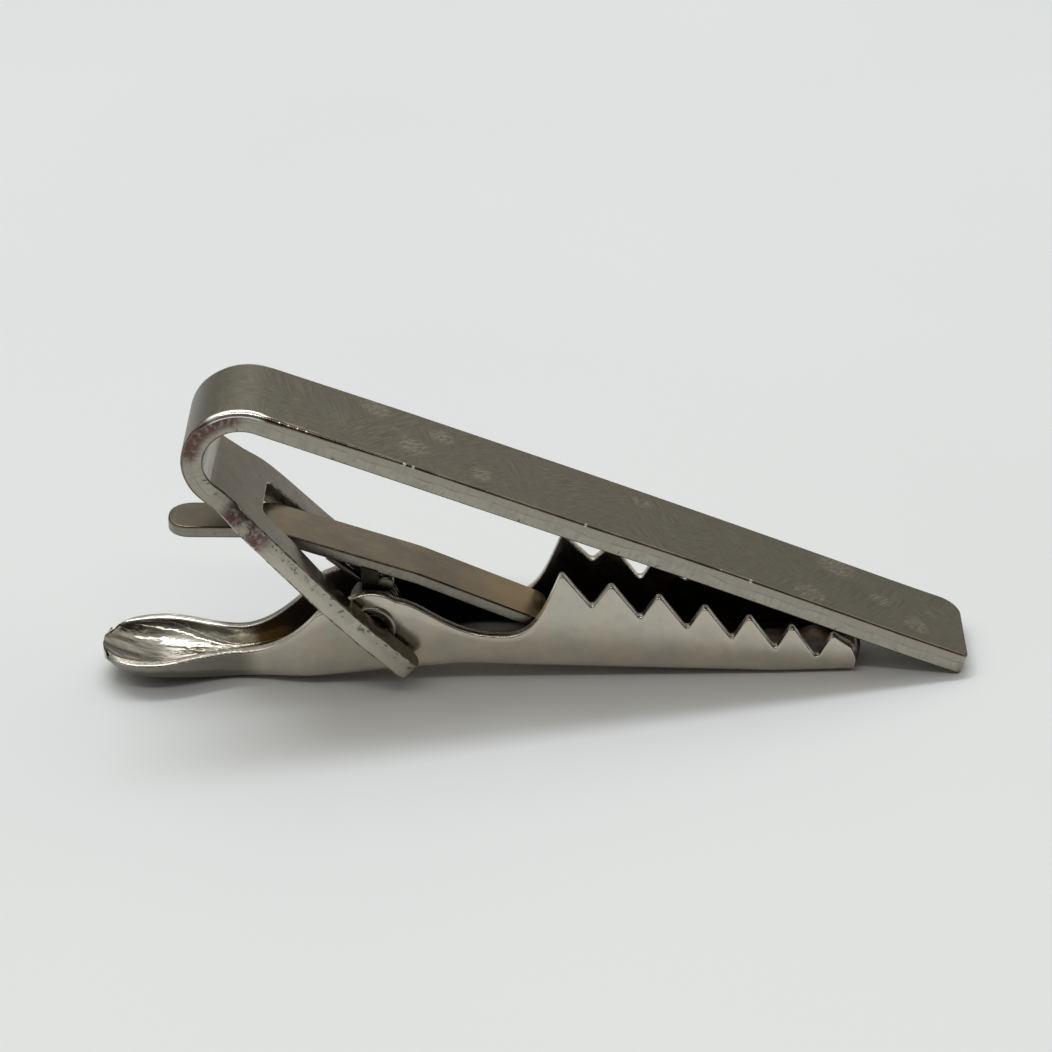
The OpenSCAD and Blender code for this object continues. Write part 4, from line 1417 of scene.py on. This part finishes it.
class TIECLIP_OT_spring(bpy.types.Operator):
    """Wind the torsion spring round the tube"""

    bl_idname = "tieclip.spring"
    bl_label = "Torsion Spring"

    def execute(self, context):
        scene = context.scene
        material = sheet_metal("spring_wire", scene.tieclip_finish.wire, 0.16, 0.26)
        coil, leg = spring_meshes(scene.tieclip_pivot, scene.tieclip_jaw, scene.tieclip_lever)
        make_piece("wound_spring", coil, "jaw", "torsion_spring", [material])
        make_piece("spring_upper_leg", leg, "lever", "torsion_spring", [material])
        return {"FINISHED"}


class TIECLIP_OT_stage(bpy.types.Operator):
    """Set the table, the lamps, the room and the camera"""

    bl_idname = "tieclip.stage"
    bl_label = "Table and Camera"

    def execute(self, context):
        stage = context.scene.tieclip_stage
        make_table(stage)
        make_lamps(stage)
        make_room(context.scene, stage)
        make_camera(context.scene, stage)
        context.scene.view_settings.view_transform = "Standard"
        return {"FINISHED"}


def make_table(stage):
    half = 2.0
    mesh = bpy.data.meshes.new("table")
    corners = [(-half, -half, 0), (half, -half, 0), (half, half, 0), (-half, half, 0)]
    mesh.from_pydata(corners, [], [(0, 1, 2, 3)])
    mesh.materials.append(table_top(stage))
    table = bpy.data.objects.new("table", mesh)
    bpy.context.scene.collection.objects.link(table)


def make_lamp(name, direction, distance, width, height, power, tint):
    """An area lamp in that direction from the clip, aimed at it"""
    lamp = bpy.data.lights.new(name, "AREA")
    lamp.shape = "RECTANGLE"
    lamp.size, lamp.size_y = width, height
    lamp.energy = power
    lamp.color = tint
    thing = bpy.data.objects.new(name, lamp)
    towards = Vector(direction).normalized()
    thing.location = towards * distance
    thing.rotation_mode = "QUATERNION"
    thing.rotation_quaternion = towards.to_track_quat("Z", "Y")
    bpy.context.scene.collection.objects.link(thing)


def make_lamps(stage):
    make_lamp("key_lamp", (-0.12, 0.4, 0.91), 0.6, 0.5, 0.09, stage.key_power, (0.87, 0.95, 1.0))
    make_lamp("tube_lamp", (-0.05, -0.45, 0.89), 0.5, 0.5, 0.028, stage.tube_power, (1.0, 0.98, 0.9))


def make_room(scene, stage):
    """A plain pale room, brighter overhead, and darker above the camera"""
    world = bpy.data.worlds.new("room")
    scene.world = world
    world.use_nodes = True
    tree = world.node_tree
    background = tree.nodes["Background"]
    place = tree.nodes.new("ShaderNodeTexCoord").outputs["Generated"]

    def towards(direction, low, high, to_low, to_high):
        dot = tree.nodes.new("ShaderNodeVectorMath")
        dot.operation = "DOT_PRODUCT"
        tree.links.new(place, dot.inputs[0])
        dot.inputs[1].default_value = Vector(direction).normalized()
        ramp = tree.nodes.new("ShaderNodeMapRange")
        ramp.interpolation_type = "SMOOTHSTEP"
        tree.links.new(dot.outputs["Value"], ramp.inputs["Value"])
        limits = {"From Min": low, "From Max": high, "To Min": to_low, "To Max": to_high}
        for socket, value in limits.items():
            ramp.inputs[socket].default_value = value
        return ramp.outputs["Result"]

    product = tree.nodes.new("ShaderNodeMath")
    product.operation = "MULTIPLY"
    tree.links.new(towards((0, 0, 1), 0.28, 1.0, stage.horizon, stage.ceiling), product.inputs[0])
    tree.links.new(towards((0.15, -0.65, 0.75), 0.22, 0.9, 1.0, 1.0 - stage.shade), product.inputs[1])
    background.inputs["Color"].default_value = (1.0, 0.97, 0.9, 1.0)
    tree.links.new(product.outputs[0], background.inputs["Strength"])


def make_camera(scene, stage):
    """The photograph's view, as three axes and a distance along the one that points back from the clip"""
    right = Vector((0.99892779, 0.02128862, -0.04111052))
    up = Vector((0.02632005, 0.46938063, 0.88260358))
    back = Vector((0.0380859, -0.88273927, 0.46831703))
    aim = Vector((8.516, 0.0, 4.616)) * MM
    data = bpy.data.cameras.new("camera")
    data.lens = stage.lens
    data.sensor_width = 36.0
    data.clip_start, data.clip_end = 1 * MM, 10.0
    camera = bpy.data.objects.new("camera", data)
    turn = Matrix((right, up, back)).transposed().to_4x4()
    camera.matrix_world = Matrix.Translation(PIVOT + aim + back * stage.distance) @ turn
    scene.collection.objects.link(camera)
    scene.camera = camera


class TIECLIP_PT_panel(bpy.types.Panel):
    """Lists the pieces of the tie clip and their sizes"""

    bl_idname = "TIECLIP_PT_panel"
    bl_label = "Tie Clip"
    bl_space_type = "VIEW_3D"
    bl_region_type = "UI"
    bl_category = "Tie Clip"

    def draw(self, context):
        layout = self.layout
        for operator in OPERATORS:
            layout.operator(operator.bl_idname)
        for name in GROUPS:
            box = layout.box()
            box.label(text=GROUPS[name].__doc__)
            settings = getattr(context.scene, name)
            for key in GROUPS[name].__annotations__:
                box.prop(settings, key)


GROUPS = {
    "tieclip_bar": TIECLIP_PG_bar,
    "tieclip_jaw": TIECLIP_PG_jaw,
    "tieclip_lever": TIECLIP_PG_lever,
    "tieclip_pivot": TIECLIP_PG_pivot,
    "tieclip_finish": TIECLIP_PG_finish,
    "tieclip_stage": TIECLIP_PG_stage,
}
OPERATORS = [
    TIECLIP_OT_stage,
    TIECLIP_OT_front_bar,
    TIECLIP_OT_jaw,
    TIECLIP_OT_lever,
    TIECLIP_OT_pivot_tube,
    TIECLIP_OT_spring,
]


def register():
    for group in GROUPS.values():
        bpy.utils.register_class(group)
    for operator in OPERATORS:
        bpy.utils.register_class(operator)
    bpy.utils.register_class(TIECLIP_PT_panel)
    for name, group in GROUPS.items():
        setattr(bpy.types.Scene, name, bpy.props.PointerProperty(type=group))


def unregister():
    for name in GROUPS:
        delattr(bpy.types.Scene, name)
    bpy.utils.unregister_class(TIECLIP_PT_panel)
    for operator in reversed(OPERATORS):
        bpy.utils.unregister_class(operator)
    for group in reversed(list(GROUPS.values())):
        bpy.utils.unregister_class(group)


def main():
    register()
    bpy.ops.tieclip.stage()
    bpy.ops.tieclip.front_bar()
    bpy.ops.tieclip.jaw()
    bpy.ops.tieclip.lever()
    bpy.ops.tieclip.pivot_tube()
    bpy.ops.tieclip.spring()


if __name__ == "__main__":
    main()
